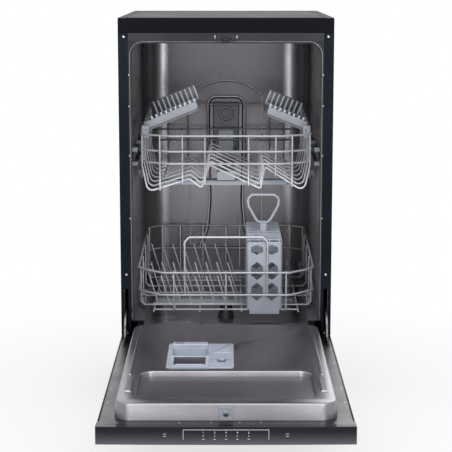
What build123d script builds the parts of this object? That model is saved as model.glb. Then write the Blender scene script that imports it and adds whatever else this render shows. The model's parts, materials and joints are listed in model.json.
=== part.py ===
from build123d import *
import math
import os

os.makedirs("parts", exist_ok=True)

# Slim freestanding dishwasher with its door open at a right angle, in millimetres.
# While modelling, y = 0 is the cabinet's front plane, +y runs to the back, and z = 0 is the floor.
# The export moves everything along y, so that the origin is at the middle of the depth.

# Cabinet
cabinet_width = 448.0
cabinet_height = 850.0
cabinet_depth = 565.0
worktop_thickness = 31.0
worktop_recess = 1.6
worktop_trim = 17.0
worktop_groove = 2.5
worktop_edge_chamfer = 2.0
panel_sheet = 0.9
side_flange = 20.5
flange_bottom_z = 183.0
rear_flange = 14.0
foot_height = 20.0
foot_radius = 20.0
foot_inset = 34.0
back_recess = 18.0
fit = 0.3
seat = 0.2

# Tub
tub_side_gap = 25.0
tub_top_gap = 19.0
tub_depth = 520.0
tub_wall = 1.0
tub_top_radius = 28.0
tub_back_radius = 58.0
ledge_z = 208.0
pan_ledge = 23.0
pan_front_y = 66.0
pan_back_y = 470.0
pan_floor_z = 150.0
pan_radius = 30.0
sill_z = 186.0
tub_flange = 8.0
gasket_thickness = 2.0
gasket_width = 8.0

# Door, open: its inner rim looks up
hinge_z = 179.0
rim_z = 178.0
door_thickness = 32.0
door_top_gap = 3.5
door_side_gap = 1.8
door_tail = 45.0
door_sheet = 0.8
inner_sheet = 1.0
boss_height = 30.0
boss_side_gap = 26.7
boss_start = 31.0
boss_end_gap = 34.5
boss_radius = 32.0
boss_draft = 5.0
tray_length = 165.0
tray_end_gap = 42.0
tray_side_gap = 35.5
tray_depth = 10.0
tray_radius = 26.0
tray_draft = -8.0
panel_lip = 13.5
panel_block = 33.5
fascia_length = 118.5
fascia_thickness = 12.0
panel_bow = 2.5
grip_half_width = 85.0
grip_length = 32.0
grip_depth = 8.0
button_travel = 1.6
button_offset = 56.0

# Lower basket, pushed in
basket_front_y = 40.0
rail_wire = 2.3
wire_radius = 1.9
wire_sides = 6
peg_sides = 12
drum_sides = 24
tine_radius = 1.7
lower_side_gap = 7.5
lower_length = 461.0
lower_floor_z = 220.0
lower_front_rail_z = 304.0
lower_rear_rail_z = 326.0
lower_mid_rail_z = 255.0
lower_chamfer_x = 54.0
lower_chamfer_y = 51.0
lower_rear_radius = 30.0
wheel_radius = 14.0
wheel_width = 6.5
lower_wheel_front = 96.0
lower_wheel_rear_gap = 61.0
hoop_half_width = 89.0
hoop_top_z = 381.0
tine_rows = [(70.0, 62.0), (180.0, 70.0), (312.0, 88.0)]
tine_lean = 17.0
tine_pitch = 25.0
tine_edge_gap = 41.5
tine_cutlery_gap = 19.0
tine_bar_end = 12.0

# Upper basket, pushed in
upper_side_gap = 15.3
upper_length = 445.0
upper_front_rail_z = 600.0
upper_rear_rail_z = 628.0
upper_mid_rail_z = 567.0
upper_low_rail_z = 541.0
upper_chamfer_x = 66.0
upper_chamfer_y = 34.0
wave_count = 7
roller_radius = 9.0
roller_width = 5.0
roller_z = 556.0
roller_drop = 53.0
roller_front_y = 150.0
roller_rear_y = 360.0
rail_length = 440.0
rail_sheet = 1.2
shelf_tilt = 22.0
shelf_length = 196.0
shelf_side_gap = 11.7
shelf_hinge_z = 608.0
shelf_start_y = 92.0
shelf_pin = 2.5
left_shelf_width = 122.0
right_shelf_width = 92.0

# Spray arms
arm_y = 268.0
lower_arm_radius = 165.0
lower_arm_z = 186.0
upper_arm_radius = 150.0
upper_arm_z = 464.6
arm_thickness = 10.4
spindle_radius = 6.0
running = 0.05

# Cutlery basket
cutlery_x = 83.2
cutlery_width = 77.0
cutlery_length = 231.0
cutlery_top_z = 370.0
cutlery_wall = 2.5
cutlery_skirt = 11.0
cutlery_handle_z = 459.0
cutlery_bar = 2.4
cutlery_bars = 12
cutlery_loop_wire = 3.2
window_pitch = 29.0

# Door hinge
hinge_side_gap = 11.0
arm_plate = 4.0
arm_inner = 44.0
arm_outer = 56.0
hinge_pin = 4.0
arm_foot_end = 95.0
slot_gap = 2.5
spring_drop = 50.0
spring_start_y = 150.0
spring_coil = 150.0
spring_end_y = 330.0
spring_lead_y = 104.0

# Striker on the cross rail, and the lock in the door
striker_rise = 6.0
striker_plate = 0.6
striker_half = 22.0
tongue_half = 9.0
striker_reach = 14.0
lock_half = 24.0

# Embossed forms on the tub's back wall, and the docking port
tub_flange_y = 1.0
arch_half_width = 88.5
arch_low_z = 276.0
arch_side_z = 647.0
arch_top_z = 683.0
arch_depth = 3.0
duct_shoulder = 44.0
duct_neck = 40.5
duct_base = 67.0
duct_low_z = 268.0
duct_neck_z = 387.0
duct_shoulder_z = 520.0
duct_top_z = 645.0
duct_depth = 15.0
dock_low_z = 513.0
dock_top_z = 632.0
dock_mouth_z = 540.0
dock_front_y = 498.0
feed_height = 20.0

# Pieces in and under the tub floor
filter_x = 75.0
filter_y = 160.0
filter_radius = 38.0
salt_x = -95.0
salt_y = 150.0
salt_radius = 33.0
plate_x = 72.0
plate_y = 162.0
plate_width = 170.0
plate_depth = 150.0
plate_thickness = 1.2
column_radius = 19.0
sump_low_z = 62.0
motor_y = 350.0
motor_radius = 42.0
drain_pump_x = 150.0
drain_pump_y = 232.0

# Base and services
tray_wall = 3.0
tray_front_y = 75.0
tray_top_z = 110.0
kick_y = 50.0
kick_top_z = 113.0
inlet_inset = 74.0
inlet_z = 78.0
inlet_radius = 13.2
inlet_bore = 8.0
drain_inset = 104.0
drain_z = 78.0
drain_radius = 10.0
drain_wall = 3.0
gland_inset = 46.0
gland_z = 72.0
gland_radius = 9.0
gland_bore = 4.0
service_length = 16.0
service_gap = 1.0
service_relief = 1.2
sleeve_gap = 0.5

# Dispenser on the door's boss; distances run from the hinge to the door's free end
disp_x0 = -113.6
disp_x1 = 15.0
disp_length = 177.0
disp_tray_gap = 20.0
cup_width = 70.0
cup_length = 66.0
lid_setback = 75.0
lid_pin = 1.2
vent_half = 12.0
vent_low_z = 181.0
vent_top_z = 204.0
guide_offset = 1.5
guide_half = 1.5
guide_rise = 1.4
stop_rise = 3.0

# Values that follow
half_width = cabinet_width / 2
worktop_z = cabinet_height - worktop_thickness
back_panel_y = cabinet_depth - back_recess
service_y = back_panel_y + panel_sheet + service_gap
inlet_x = inlet_inset - half_width
drain_x = half_width - drain_inset
gland_x = half_width - gland_inset
tub_half_width = half_width - tub_side_gap
tub_top_z = worktop_z - tub_top_gap
pan_half_width = tub_half_width - pan_ledge
hinge_x = half_width - hinge_side_gap
slot_in = hinge_x - arm_plate / 2 - slot_gap
slot_out = hinge_x + arm_plate / 2 + slot_gap
slot_top_z = hinge_z + arm_foot_end + 3
door_reach = worktop_z - hinge_z - door_top_gap
door_half = half_width - door_side_gap
outer_z = rim_z - door_thickness
boss_z = rim_z + boss_height
boss_half_width = door_half - boss_side_gap
boss_end = door_reach - boss_end_gap
tray_end = boss_end - tray_end_gap
tray_start = tray_end - tray_length
tray_half_width = boss_half_width - tray_side_gap
guide_x = pan_half_width + guide_offset
disp_y1 = tray_start - disp_tray_gap
disp_y0 = disp_y1 - disp_length
lid_y = disp_y1 - lid_setback
lid_axis_z = boss_z + 3.0
striker_z = tub_top_z + striker_rise
front_y = (door_reach - cabinet_depth) / 2
weld = rail_wire + wire_radius - 0.05

lower_half_width = tub_half_width - lower_side_gap
lower_rear_y = basket_front_y + lower_length
lower_side_y0 = basket_front_y + lower_chamfer_y + 14
lower_side_y1 = lower_rear_y - lower_rear_radius - 4
lower_wheel_rear = lower_length - lower_wheel_rear_gap
lower_offsets = [lower_chamfer_y + 9, 150.0, 250.0, lower_length - 113, lower_length - 37]
lower_cross = [basket_front_y + offset for offset in lower_offsets]
lower_posts = [78.5 - lower_half_width, 0.0, lower_half_width - 61.5]
lower_rear_posts = [34.5 - lower_half_width, -57.0, 34.0, lower_half_width - 34.5]
tine_start_x = tine_edge_gap - lower_half_width
tine_room = cutlery_x - cutlery_width / 2 - tine_cutlery_gap - tine_start_x
tine_count = 1 + int(tine_room // tine_pitch)

upper_half_width = tub_half_width - upper_side_gap
shelf_hinge_x = upper_half_width - shelf_side_gap
upper_rear_y = basket_front_y + upper_length
upper_side_y0 = basket_front_y + upper_chamfer_y + 12
upper_side_y1 = upper_rear_y - 28
upper_posts = [-141.0, -93.0, -45.0, 48.0, 106.0, 141.0]
wave_foot = upper_half_width - weld - 7.55
wave_shape = [(-wave_foot, 500), (-wave_foot + 4.6, 479), (-78, 507), (-52, 486), (-36, 537)]
wave_shape += [(74, 486), (83, 533), (wave_foot - 4.6, 479), (wave_foot, 500)]
wave_first = basket_front_y + 16
wave_last = upper_rear_y - 34
wave_ys = [wave_first + (wave_last - wave_first) * i / (wave_count - 1) for i in range(wave_count)]
rail_start_y = basket_front_y - 4


def block(x0, x1, y0, y1, z0, z1):
    middle = ((x0 + x1) / 2, (y0 + y1) / 2, (z0 + z1) / 2)
    return Pos(*middle) * Box(x1 - x0, y1 - y0, z1 - z0)


def pair(shape):
    return [shape, mirror(shape, Plane.YZ)]


def rod(start, end, radius):
    run = Vector(*end) - Vector(*start)
    return Solid.make_cylinder(radius, run.length, Plane(origin=start, z_dir=run))


# A coated wire has six flat sides, and a bend is one flat step between its two tangent points
def wire(start, end, radius, sides=wire_sides):
    run = Vector(*end) - Vector(*start)
    return extrude(Plane(origin=start, z_dir=run) * RegularPolygon(radius, sides), amount=run.length)


def peg(start, end, radius):
    return wire(start, end, radius, peg_sides)


def drum(start, end, radius):
    return wire(start, end, radius, drum_sides)


# A twelve-sided bore that clears a pin of this radius as it turns
def bore(start, end, radius):
    return wire(start, end, (radius + running) / math.cos(math.pi / peg_sides), peg_sides)


def stepped_bends(points, bends):
    corners = [Vector(*point) for point in points]
    radii = bends if isinstance(bends, list) else [bends] * (len(corners) - 2)
    path = [corners[0]]
    for before, corner, after, radius in zip(corners, corners[1:], corners[2:], radii):
        if radius == 0:
            path.append(corner)
            continue
        back = (before - corner).normalized()
        onward = (after - corner).normalized()
        turn = math.radians(180 - back.get_angle(onward))
        reach = radius * math.tan(turn / 2)
        path += [corner + back * reach, corner + onward * reach]
    return path + [corners[-1]]


def bent_rod(points, radius, bends):
    path = Polyline(*stepped_bends(points, bends))
    section = Plane(origin=path @ 0, z_dir=path % 0) * RegularPolygon(radius, wire_sides)
    return sweep(section, path=path, transition=Transition.RIGHT)


def tube(start, end, outer, inner):
    return drum(start, end, outer) - drum(start, end, inner)


def save(name, *shapes):
    solids = [s for shape in shapes for s in (Pos(0, front_y, 0) * shape).solids()]
    export_step(Compound(children=solids), "parts/" + name + ".step")


# Worktop: a dark frame with an inset panel
def build_worktop():
    recess_half = half_width - worktop_trim
    recess_z = cabinet_height - worktop_recess
    slab = block(-half_width, half_width, 0, cabinet_depth, worktop_z, cabinet_height)
    slab = chamfer(slab.edges().filter_by(Axis.X).group_by(Axis.Z)[-1], worktop_edge_chamfer)
    slab -= block(-recess_half, recess_half, worktop_trim, cabinet_depth - worktop_trim, recess_z, cabinet_height)
    panel_half = recess_half - worktop_groove
    panel_front = worktop_trim + worktop_groove
    panel_back = cabinet_depth - worktop_trim - worktop_groove
    panel = block(-panel_half, panel_half, panel_front, panel_back, recess_z, cabinet_height - seat)
    save("worktop_frame", slab)
    save("worktop_panel", panel)


# Side panels: sheet with a front flange, a slot for the hinge arm and a rear flange
def build_side_panels():
    inside = half_width - panel_sheet
    wall = block(inside, half_width, 0, cabinet_depth, foot_height, worktop_z)
    flange = block(half_width - side_flange, half_width, 0, panel_sheet, flange_bottom_z, worktop_z)
    flange -= block(slot_in, slot_out, -1, panel_sheet + 1, flange_bottom_z - 1, slot_top_z)
    rear_x = half_width - rear_flange
    rear = block(rear_x, half_width, cabinet_depth - panel_sheet, cabinet_depth, foot_height, worktop_z)
    right = wall + flange + rear
    save("right_side_panel", right)
    save("left_side_panel", mirror(right, Plane.YZ))


# Back panel with the holes for the services, and rows of vent slots
def build_back_panel():
    half = half_width - panel_sheet - seat
    top = worktop_z - seat
    sheet = block(-half, half, back_panel_y, back_panel_y + panel_sheet, foot_height + 5, top)
    services = [(inlet_x, inlet_z, inlet_radius), (drain_x, drain_z, drain_radius)]
    services.append((gland_x, gland_z, gland_radius))
    for x, z, radius in services:
        sheet -= drum((x, back_panel_y - 1, z), (x, back_panel_y + 2, z), radius + sleeve_gap)
    for i in range(5):
        z = 140 + 12 * i
        sheet -= block(-60, 60, back_panel_y - 1, back_panel_y + 2, z, z + 5)
    save("back_panel", sheet)


# Front cross rail under the worktop, with the striker that the door lock grips
def build_cross_rail():
    half = half_width - side_flange - seat
    face = block(-half, half, 0, panel_sheet, tub_top_z + 2.5, worktop_z)
    shelf = block(-half, half, 0, 30, worktop_z - panel_sheet, worktop_z)
    plate = block(-striker_half, striker_half, -striker_plate, 0, striker_z - 4, striker_z + 9)
    tongue = block(-tongue_half, tongue_half, -striker_reach, -striker_plate / 2, striker_z - 1.5, striker_z + 1.5)
    tongue = chamfer(tongue.edges().filter_by(Axis.Z).group_by(Axis.Y)[0], 3)
    save("front_cross_rail", face + shelf, plate + tongue)


# Tub: drawn steel shell with wheel ledges, a deeper pan, a sill and embossed forms on its back wall
def tub_space(grow, front):
    half = tub_half_width + grow
    top = tub_top_z + grow
    low = ledge_z - grow
    face = Rectangle(2 * half, top - low)
    face = fillet(face.vertices().group_by(Axis.Y)[-1], tub_top_radius + grow)
    main = extrude(Plane((0, front, (top + low) / 2), x_dir=(1, 0, 0), z_dir=(0, 1, 0)) * Rot(0, 0, 180) * face,
                   amount=tub_depth + grow - front)
    plan_depth = tub_depth + grow - front
    plan = Pos(0, front + plan_depth / 2) * Rectangle(2 * half, plan_depth)
    plan = fillet(plan.vertices().group_by(Axis.Y)[-1], tub_back_radius + grow)
    main &= Pos(0, 0, low) * extrude(plan, amount=top - low)
    pan_length = pan_back_y - pan_front_y + 2 * grow
    pan = RectangleRounded(2 * (pan_half_width + grow), pan_length, pan_radius)
    pan = Pos(0, (pan_front_y + pan_back_y) / 2) * pan
    pan_low = pan_floor_z - grow
    main += Pos(0, 0, pan_low) * extrude(pan, amount=low + 2 * grow + 1 - pan_low)
    main += block(-pan_half_width - grow, pan_half_width + grow, front, pan_front_y + pan_radius,
                  sill_z - grow, low + 2 * grow + 1)
    return main


def arch_face(half, base_z, side_z, apex_z):
    outline = Polyline((-half, side_z), (-half, base_z), (half, base_z), (half, side_z))
    crown = ThreePointArc((half, side_z), (0, apex_z), (-half, side_z))
    return make_face(outline + crown)


def bottle_face(grow):
    wide = duct_shoulder + grow
    neck = duct_neck + grow
    base = duct_base + grow
    low = duct_low_z - grow
    high = duct_top_z + grow
    right = [(base, low), (neck + 6, low + 50), (neck, duct_neck_z), (wide, duct_shoulder_z), (wide, high)]
    left = [(-x, z) for x, z in reversed(right)]
    outline = FilletPolyline(*right, *left, radius=[6, 60, 200, 30, 20, 20, 30, 200, 60, 6], close=True)
    return make_face(outline)


def on_back_wall(face, depth, taper=0.0):
    plane = Plane((0, tub_depth, 0), x_dir=(1, 0, 0), z_dir=(0, -1, 0))
    return extrude(plane * face, amount=depth, taper=taper)


def build_tub():
    shell = tub_space(tub_wall, tub_flange_y)
    lip_half = tub_half_width + tub_flange
    lip_top = tub_top_z + tub_flange
    lip = block(-lip_half, lip_half, tub_flange_y, tub_flange_y + tub_wall, ledge_z - tub_wall, lip_top)
    shell += lip
    shell -= tub_space(0, -5)
    shell += on_back_wall(arch_face(arch_half_width, arch_low_z, arch_side_z, arch_top_z), arch_depth)
    shell += on_back_wall(bottle_face(0), duct_depth, 20)
    shell -= rod((filter_x, filter_y, pan_floor_z - 5), (filter_x, filter_y, pan_floor_z + 5), filter_radius + 3)
    shell -= rod((salt_x, salt_y, pan_floor_z - 5), (salt_x, salt_y, pan_floor_z + 5), salt_radius - 5)
    shell -= rod((0, arm_y, pan_floor_z - 5), (0, arm_y, pan_floor_z + 5), column_radius - 6)
    save("tub", shell)
    inner = tub_half_width - gasket_thickness
    top = tub_top_z - gasket_thickness
    y0 = tub_flange_y + tub_wall
    opening = Rectangle(2 * tub_half_width, tub_top_z - ledge_z)
    opening = fillet(opening.vertices().group_by(Axis.Y)[-1], tub_top_radius)
    hollow_high = top - ledge_z
    hollow = Rectangle(2 * inner, hollow_high)
    hollow = fillet(hollow.vertices().group_by(Axis.Y)[-1], tub_top_radius - gasket_thickness)
    hollow = Pos(0, -gasket_thickness / 2) * hollow
    plane = Plane((0, y0, (tub_top_z + ledge_z) / 2), x_dir=(-1, 0, 0), z_dir=(0, 1, 0))
    ring = extrude(plane * (opening - hollow), amount=gasket_width)
    strip = block(-pan_half_width + 1, pan_half_width - 1, y0, y0 + gasket_width, sill_z, sill_z + 4)
    save("tub_gasket", ring, strip)


# Docking port on the back wall: the upper basket's feed pipe meets its mouth
def build_dock_port():
    back = tub_depth - duct_depth
    outline = RectangleRounded(64, dock_top_z - dock_low_z, 14)
    plane = Plane((0, back, (dock_top_z + dock_low_z) / 2), x_dir=(1, 0, 0), z_dir=(0, -1, 0))
    plate = extrude(plane * outline, amount=5)
    mouth = Plane((0, back - 5, dock_mouth_z), x_dir=(1, 0, 0), z_dir=(0, -1, 0)) * RectangleRounded(40, 56, 12)
    nose = extrude(mouth, amount=back - 5 - dock_front_y)
    bore = Plane((0, dock_front_y, dock_mouth_z), x_dir=(1, 0, 0), z_dir=(0, 1, 0)) * RectangleRounded(30, 44, 9)
    port = plate + nose - extrude(bore, amount=back - dock_front_y - 2)
    save("dock_port", port)


# Pieces in the tub floor
def build_tub_floor():
    column_top = lower_arm_z - fit
    column = Pos(0, arm_y, pan_floor_z) * Cone(column_radius, column_radius - 7, column_top - pan_floor_z,
                                               align=(Align.CENTER, Align.CENTER, Align.MIN))
    spindle_top = lower_arm_z + arm_thickness + 5
    spindle = rod((0, arm_y, column_top - 1), (0, arm_y, spindle_top), spindle_radius)
    arm_column = column + spindle
    sump_top = pan_floor_z - tub_wall
    sump_out = drum((filter_x, filter_y, sump_low_z), (filter_x, filter_y, sump_top), filter_radius + 12)
    sump_in = drum((filter_x, filter_y, sump_low_z + 3), (filter_x, filter_y, pan_floor_z), filter_radius + 4)
    save("sump", sump_out - sump_in, arm_column)
    plate = extrude(RectangleRounded(plate_width, plate_depth, 22), amount=plate_thickness)
    plate = Pos(plate_x, plate_y, pan_floor_z) * plate
    plate -= rod((filter_x, filter_y, pan_floor_z - 1), (filter_x, filter_y, pan_floor_z + 3), filter_radius + fit)
    save("filter_plate", plate)
    low = sump_low_z + 6
    top = pan_floor_z + plate_thickness + fit
    can = tube((filter_x, filter_y, low), (filter_x, filter_y, top), filter_radius, filter_radius - 2)
    rim = tube((filter_x, filter_y, top), (filter_x, filter_y, top + 2), filter_radius + 4, filter_radius - 8)
    bar = block(filter_x - filter_radius + 1, filter_x + filter_radius - 1, filter_y - 3, filter_y + 3, top, top + 12)
    save("fine_filter", can + rim + bar)
    cap_low = pan_floor_z + seat
    cap = rod((salt_x, salt_y, cap_low), (salt_x, salt_y, cap_low + 9), salt_radius)
    for i in range(3):
        turn = Pos(salt_x, salt_y, 0) * Rot(0, 0, 60 * i)
        cap += turn * block(-salt_radius + 4, salt_radius - 4, -2.5, 2.5, cap_low + 9, cap_low + 16)
    save("salt_cap", cap)


def build_underworks():
    floor = foot_height + tray_wall
    soft_top = pan_floor_z - tub_wall
    tank = block(salt_x - 55, salt_x + 55, salt_y - 62, salt_y + 62, floor, soft_top - 12)
    neck = tube((salt_x, salt_y, soft_top - 12), (salt_x, salt_y, soft_top), salt_radius - 1, salt_radius - 6)
    save("water_softener", tank + neck)
    motor_z = floor + motor_radius + 6
    motor = drum((-75, motor_y, motor_z), (35, motor_y, motor_z), motor_radius)
    volute = drum((35, motor_y, motor_z), (35 + 34, motor_y, motor_z), motor_radius + 6)
    riser = drum((0, arm_y, motor_z + 14), (0, arm_y, soft_top), 14)
    riser += drum((0, arm_y - 12, motor_z), (0, motor_y - motor_radius - fit, motor_z), 15)
    cradle = block(-60, 20, motor_y - 16, motor_y + 16, floor, motor_z - motor_radius - fit)
    save("circulation_pump", motor + volute, riser, cradle)
    body_z = floor + 28
    x = drain_pump_x
    y = drain_pump_y
    drain = drum((x, y, body_z), (x, y + 42, body_z), 27)
    drain += drum((x, y + 42, body_z), (x, y + 84, body_z), 20)
    drain += block(x - 12, x + 12, y + 5, y + 80, floor, body_z - 15)
    drain += drum((x - 34, y + 14, body_z), (x, y + 14, body_z), 9)
    save("drain_pump", drain)


# Base tray, kick plate and feet
def build_base():
    half = half_width - panel_sheet - seat
    back = back_panel_y - seat
    tray = block(-half, half, tray_front_y, back, foot_height, tray_top_z)
    floor_z = foot_height + tray_wall
    tray -= block(-half + tray_wall, half - tray_wall, tray_front_y + tray_wall, back + 1, floor_z, tray_top_z + 1)
    lip = block(-half, half, back - tray_wall, back, foot_height, foot_height + 22)
    tray += lip
    post_top = ledge_z - tub_wall
    for y in (tray_front_y + 20, back - 90):
        post = block(pan_half_width + 6, pan_half_width + 20, y, y + 34, foot_height + 1, post_top)
        tray += post
        tray += mirror(post, Plane.YZ)
    save("base_tray", tray)
    face = block(-half, half, kick_y, kick_y + 1.2, 14, kick_top_z)
    tab = block(half - 9, half - 7.8, kick_y, tray_front_y - seat, foot_height + 2, kick_top_z)
    save("kick_plate", face + tab + mirror(tab, Plane.YZ))
    feet = []
    for y in (tray_front_y + foot_inset, back - foot_inset):
        for x in (-half + foot_inset, half - foot_inset):
            pad = Pos(x, y, 0) * Cone(foot_radius, foot_radius - 3, 9, align=(Align.CENTER, Align.CENTER, Align.MIN))
            stem = peg((x, y, 8), (x, y, foot_height), 7)
            feet.append(pad + stem)
    save("feet", *feet)


# Services at the back: the inlet valve, the drain spigot and the gland of the mains lead.
# Each connection passes the panel by a thinner neck, so its nut or hose stops short of the sheet.
def build_services():
    face_y = back_panel_y - seat
    end_y = service_y + service_length
    overlap_y = service_y + 0.5
    inlet = block(inlet_x - 19, inlet_x + 19, face_y - 42, face_y, inlet_z - 17, inlet_z + 17)
    coil = drum((inlet_x, face_y - 24, inlet_z + 16), (inlet_x, face_y - 24, inlet_z + 42), 13)
    tail = rod((inlet_x, service_y, inlet_z), (inlet_x, end_y, inlet_z), inlet_radius)
    tail += drum((inlet_x, face_y, inlet_z), (inlet_x, overlap_y, inlet_z), inlet_radius - service_relief)
    tail -= drum((inlet_x, face_y, inlet_z), (inlet_x, end_y + 1, inlet_z), inlet_bore)
    save("inlet_valve", inlet + coil + tail)
    flange = drum((drain_x, face_y - 6, drain_z), (drain_x, face_y, drain_z), drain_radius + 7)
    spout = rod((drain_x, service_y, drain_z), (drain_x, end_y, drain_z), drain_radius)
    spout += drum((drain_x, face_y - 1, drain_z), (drain_x, overlap_y, drain_z), drain_radius - service_relief)
    spigot = flange + spout
    spigot -= drum((drain_x, face_y - 7, drain_z), (drain_x, end_y + 1, drain_z), drain_radius - drain_wall)
    ring = drum((gland_x, face_y - 6, gland_z), (gland_x, face_y, gland_z), gland_radius + 5)
    nose = drum((gland_x, face_y, gland_z), (gland_x, face_y + 8, gland_z), gland_radius)
    gland = ring + nose - peg((gland_x, face_y - 7, gland_z), (gland_x, face_y + 9, gland_z), gland_bore)
    save("rear_ports", spigot, gland)


# Door hinge: a flat arm on the door turns on a pin, and its rim swings through the side flange's slot
def sector(inner, outer, start, end, x0, x1):
    face = Circle(outer)
    if inner > 0:
        face -= Circle(inner)
    wedge = [(0, 0)]
    steps = 4
    for i in range(steps + 1):
        a = math.radians(start + (end - start) * i / steps)
        wedge.append((3 * outer * math.cos(a), 3 * outer * math.sin(a)))
    face &= make_face(Polyline(*wedge, close=True))
    plane = Plane((x0, 0, hinge_z), x_dir=(0, 1, 0), z_dir=(1, 0, 0))
    return extrude(plane * face, amount=x1 - x0)


def build_hinges():
    x0 = hinge_x - arm_plate / 2
    x1 = hinge_x + arm_plate / 2
    arm = sector(arm_inner, arm_outer, 20, 176, x0, x1)
    arm += sector(0, arm_outer, 150, 176, x0, x1)
    arm += rod((x0, 0, hinge_z), (x1, 0, hinge_z), 9)
    arm -= block(x0 - 1, x1 + 1, -200, -7.5, hinge_z - 50, rim_z + seat)
    arm += block(x0, x1, -arm_foot_end, -30, rim_z, rim_z + 8)
    arm -= rod((x0 - 1, 0, hinge_z), (x1 + 1, 0, hinge_z), hinge_pin + running)
    save("hinge_arms", *pair(arm))
    bx0 = x1 + 1.5
    bx1 = bx0 + 2
    plate = block(bx0, bx1, 3, 104, hinge_z - 14, hinge_z + 100)
    plate += block(bx0, bx1, -6, 8, hinge_z - 10, hinge_z + 3)
    pin = rod((x0 - 2, 0, hinge_z), (bx0 + 1, 0, hinge_z), hinge_pin)
    bracket = plate + pin
    for z in (hinge_z + 20, hinge_z + 80):
        bracket += peg((bx1 - 0.5, 84, z), (half_width - panel_sheet, 84, z), 6)
    save("hinge_brackets", *pair(bracket))
    build_springs()


# Balance springs beside the tub, each between a cleat and an anchor on the side panel
def build_springs():
    x = (tub_half_width + half_width) / 2
    z = hinge_z - spring_drop
    coil_end = spring_start_y + spring_coil
    spring = peg((x, spring_start_y, z), (x, coil_end, z), 6)
    spring += peg((x, coil_end - 1, z), (x, spring_end_y, z), 2)
    spring += peg((x, spring_lead_y, z), (x, spring_start_y + 1, z), 2)
    for y in (spring_lead_y, spring_end_y):
        spring += block(x - 3, half_width - panel_sheet, y - 4, y + 4, z - 8, z + 8)
    save("balance_springs", *pair(spring))


# Door outer panel with flanges, and a tail that swings in above the kick plate
def build_door_outer():
    fascia_y = -(door_reach - fascia_length) + seat
    skin = block(-door_half, door_half, fascia_y, door_tail, outer_z, outer_z + door_sheet)
    side_y = -(door_reach - panel_block) + seat
    side = block(door_half - door_sheet, door_half, side_y, -2, outer_z, rim_z - inner_sheet)
    gap_z = outer_z + fascia_thickness + seat
    side -= block(0, half_width, -door_reach, fascia_y, outer_z - 1, gap_z)
    low = block(door_half - door_sheet, door_half, -3, door_tail, outer_z, outer_z + 8)
    end = block(-door_half, door_half, door_tail - door_sheet, door_tail, outer_z, outer_z + 8)
    shell = skin + side + mirror(side, Plane.YZ) + low + mirror(low, Plane.YZ) + end
    save("door_outer_panel", shell)


# Door inner panel: rim, raised boss, recessed tray, wheel guides and stops
def rounded_slab(half, y0, y1, z0, height, radius, draft):
    face = Pos(0, (y0 + y1) / 2) * RectangleRounded(2 * half, y1 - y0, radius)
    return Pos(0, 0, z0) * extrude(face, amount=height, taper=draft)


def build_door_inner():
    t = inner_sheet
    rim_end = door_reach - panel_lip
    panel = block(-door_half, door_half, -rim_end, -8, rim_z - t, rim_z)
    boss = rounded_slab(boss_half_width, -boss_end, -boss_start, rim_z - t / 2, boss_height + t / 2,
                        boss_radius, boss_draft)
    inner = rounded_slab(boss_half_width - t, -boss_end + t, -boss_start - t, rim_z - 2 * t, boss_height + t,
                         boss_radius - t, boss_draft)
    panel += boss
    shell = (tray_half_width + t, -tray_end - t, -tray_start + t, boss_z - tray_depth - t)
    panel += rounded_slab(*shell, tray_depth, tray_radius, tray_draft)
    panel -= inner - rounded_slab(*shell, tray_depth + 5, tray_radius, tray_draft)
    panel -= rounded_slab(tray_half_width, -tray_end, -tray_start, boss_z - tray_depth, tray_depth + 5,
                          tray_radius, tray_draft)
    panel -= block(disp_x0 - fit, disp_x1 + fit, -disp_y1 - fit, -disp_y0 + fit, rim_z - 5, boss_z + 5)
    vent_room = vent_half + fit
    panel -= block(-vent_room, vent_room, -boss_end - 5, -boss_end + 12, vent_low_z - fit, vent_top_z + fit)
    guide = block(guide_x - guide_half, guide_x + guide_half, -tray_start - 25, -60, boss_z - 0.5, boss_z + guide_rise)
    panel += guide
    panel += mirror(guide, Plane.YZ)
    stop = block(guide_x - 8, guide_x + 2, -tray_end + 30, -tray_end + 110, boss_z - 0.5, boss_z + stop_rise)
    stop = chamfer(stop.edges().group_by(Axis.Z)[-1], 1.2)
    panel += stop
    panel += mirror(stop, Plane.YZ)
    save("door_inner_panel", panel)
    frame = block(-vent_half, vent_half, -boss_end - 1.5, -boss_end + 8, vent_low_z, vent_top_z)
    frame -= block(-vent_half + 3, vent_half - 3, -boss_end - 2, -boss_end + 1, vent_low_z + 3, vent_top_z - 3)
    drop_z = (vent_low_z + vent_top_z) / 2 - 2
    drop = Circle(5.5) + make_face(Polyline((-4.6, 3), (0, 9.3), (4.6, 3), close=True))
    plane = Plane((0, -boss_end + 1.5, drop_z), x_dir=(1, 0, 0), z_dir=(0, -1, 0))
    save("door_vent", frame + extrude(plane * drop, amount=3))


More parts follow.
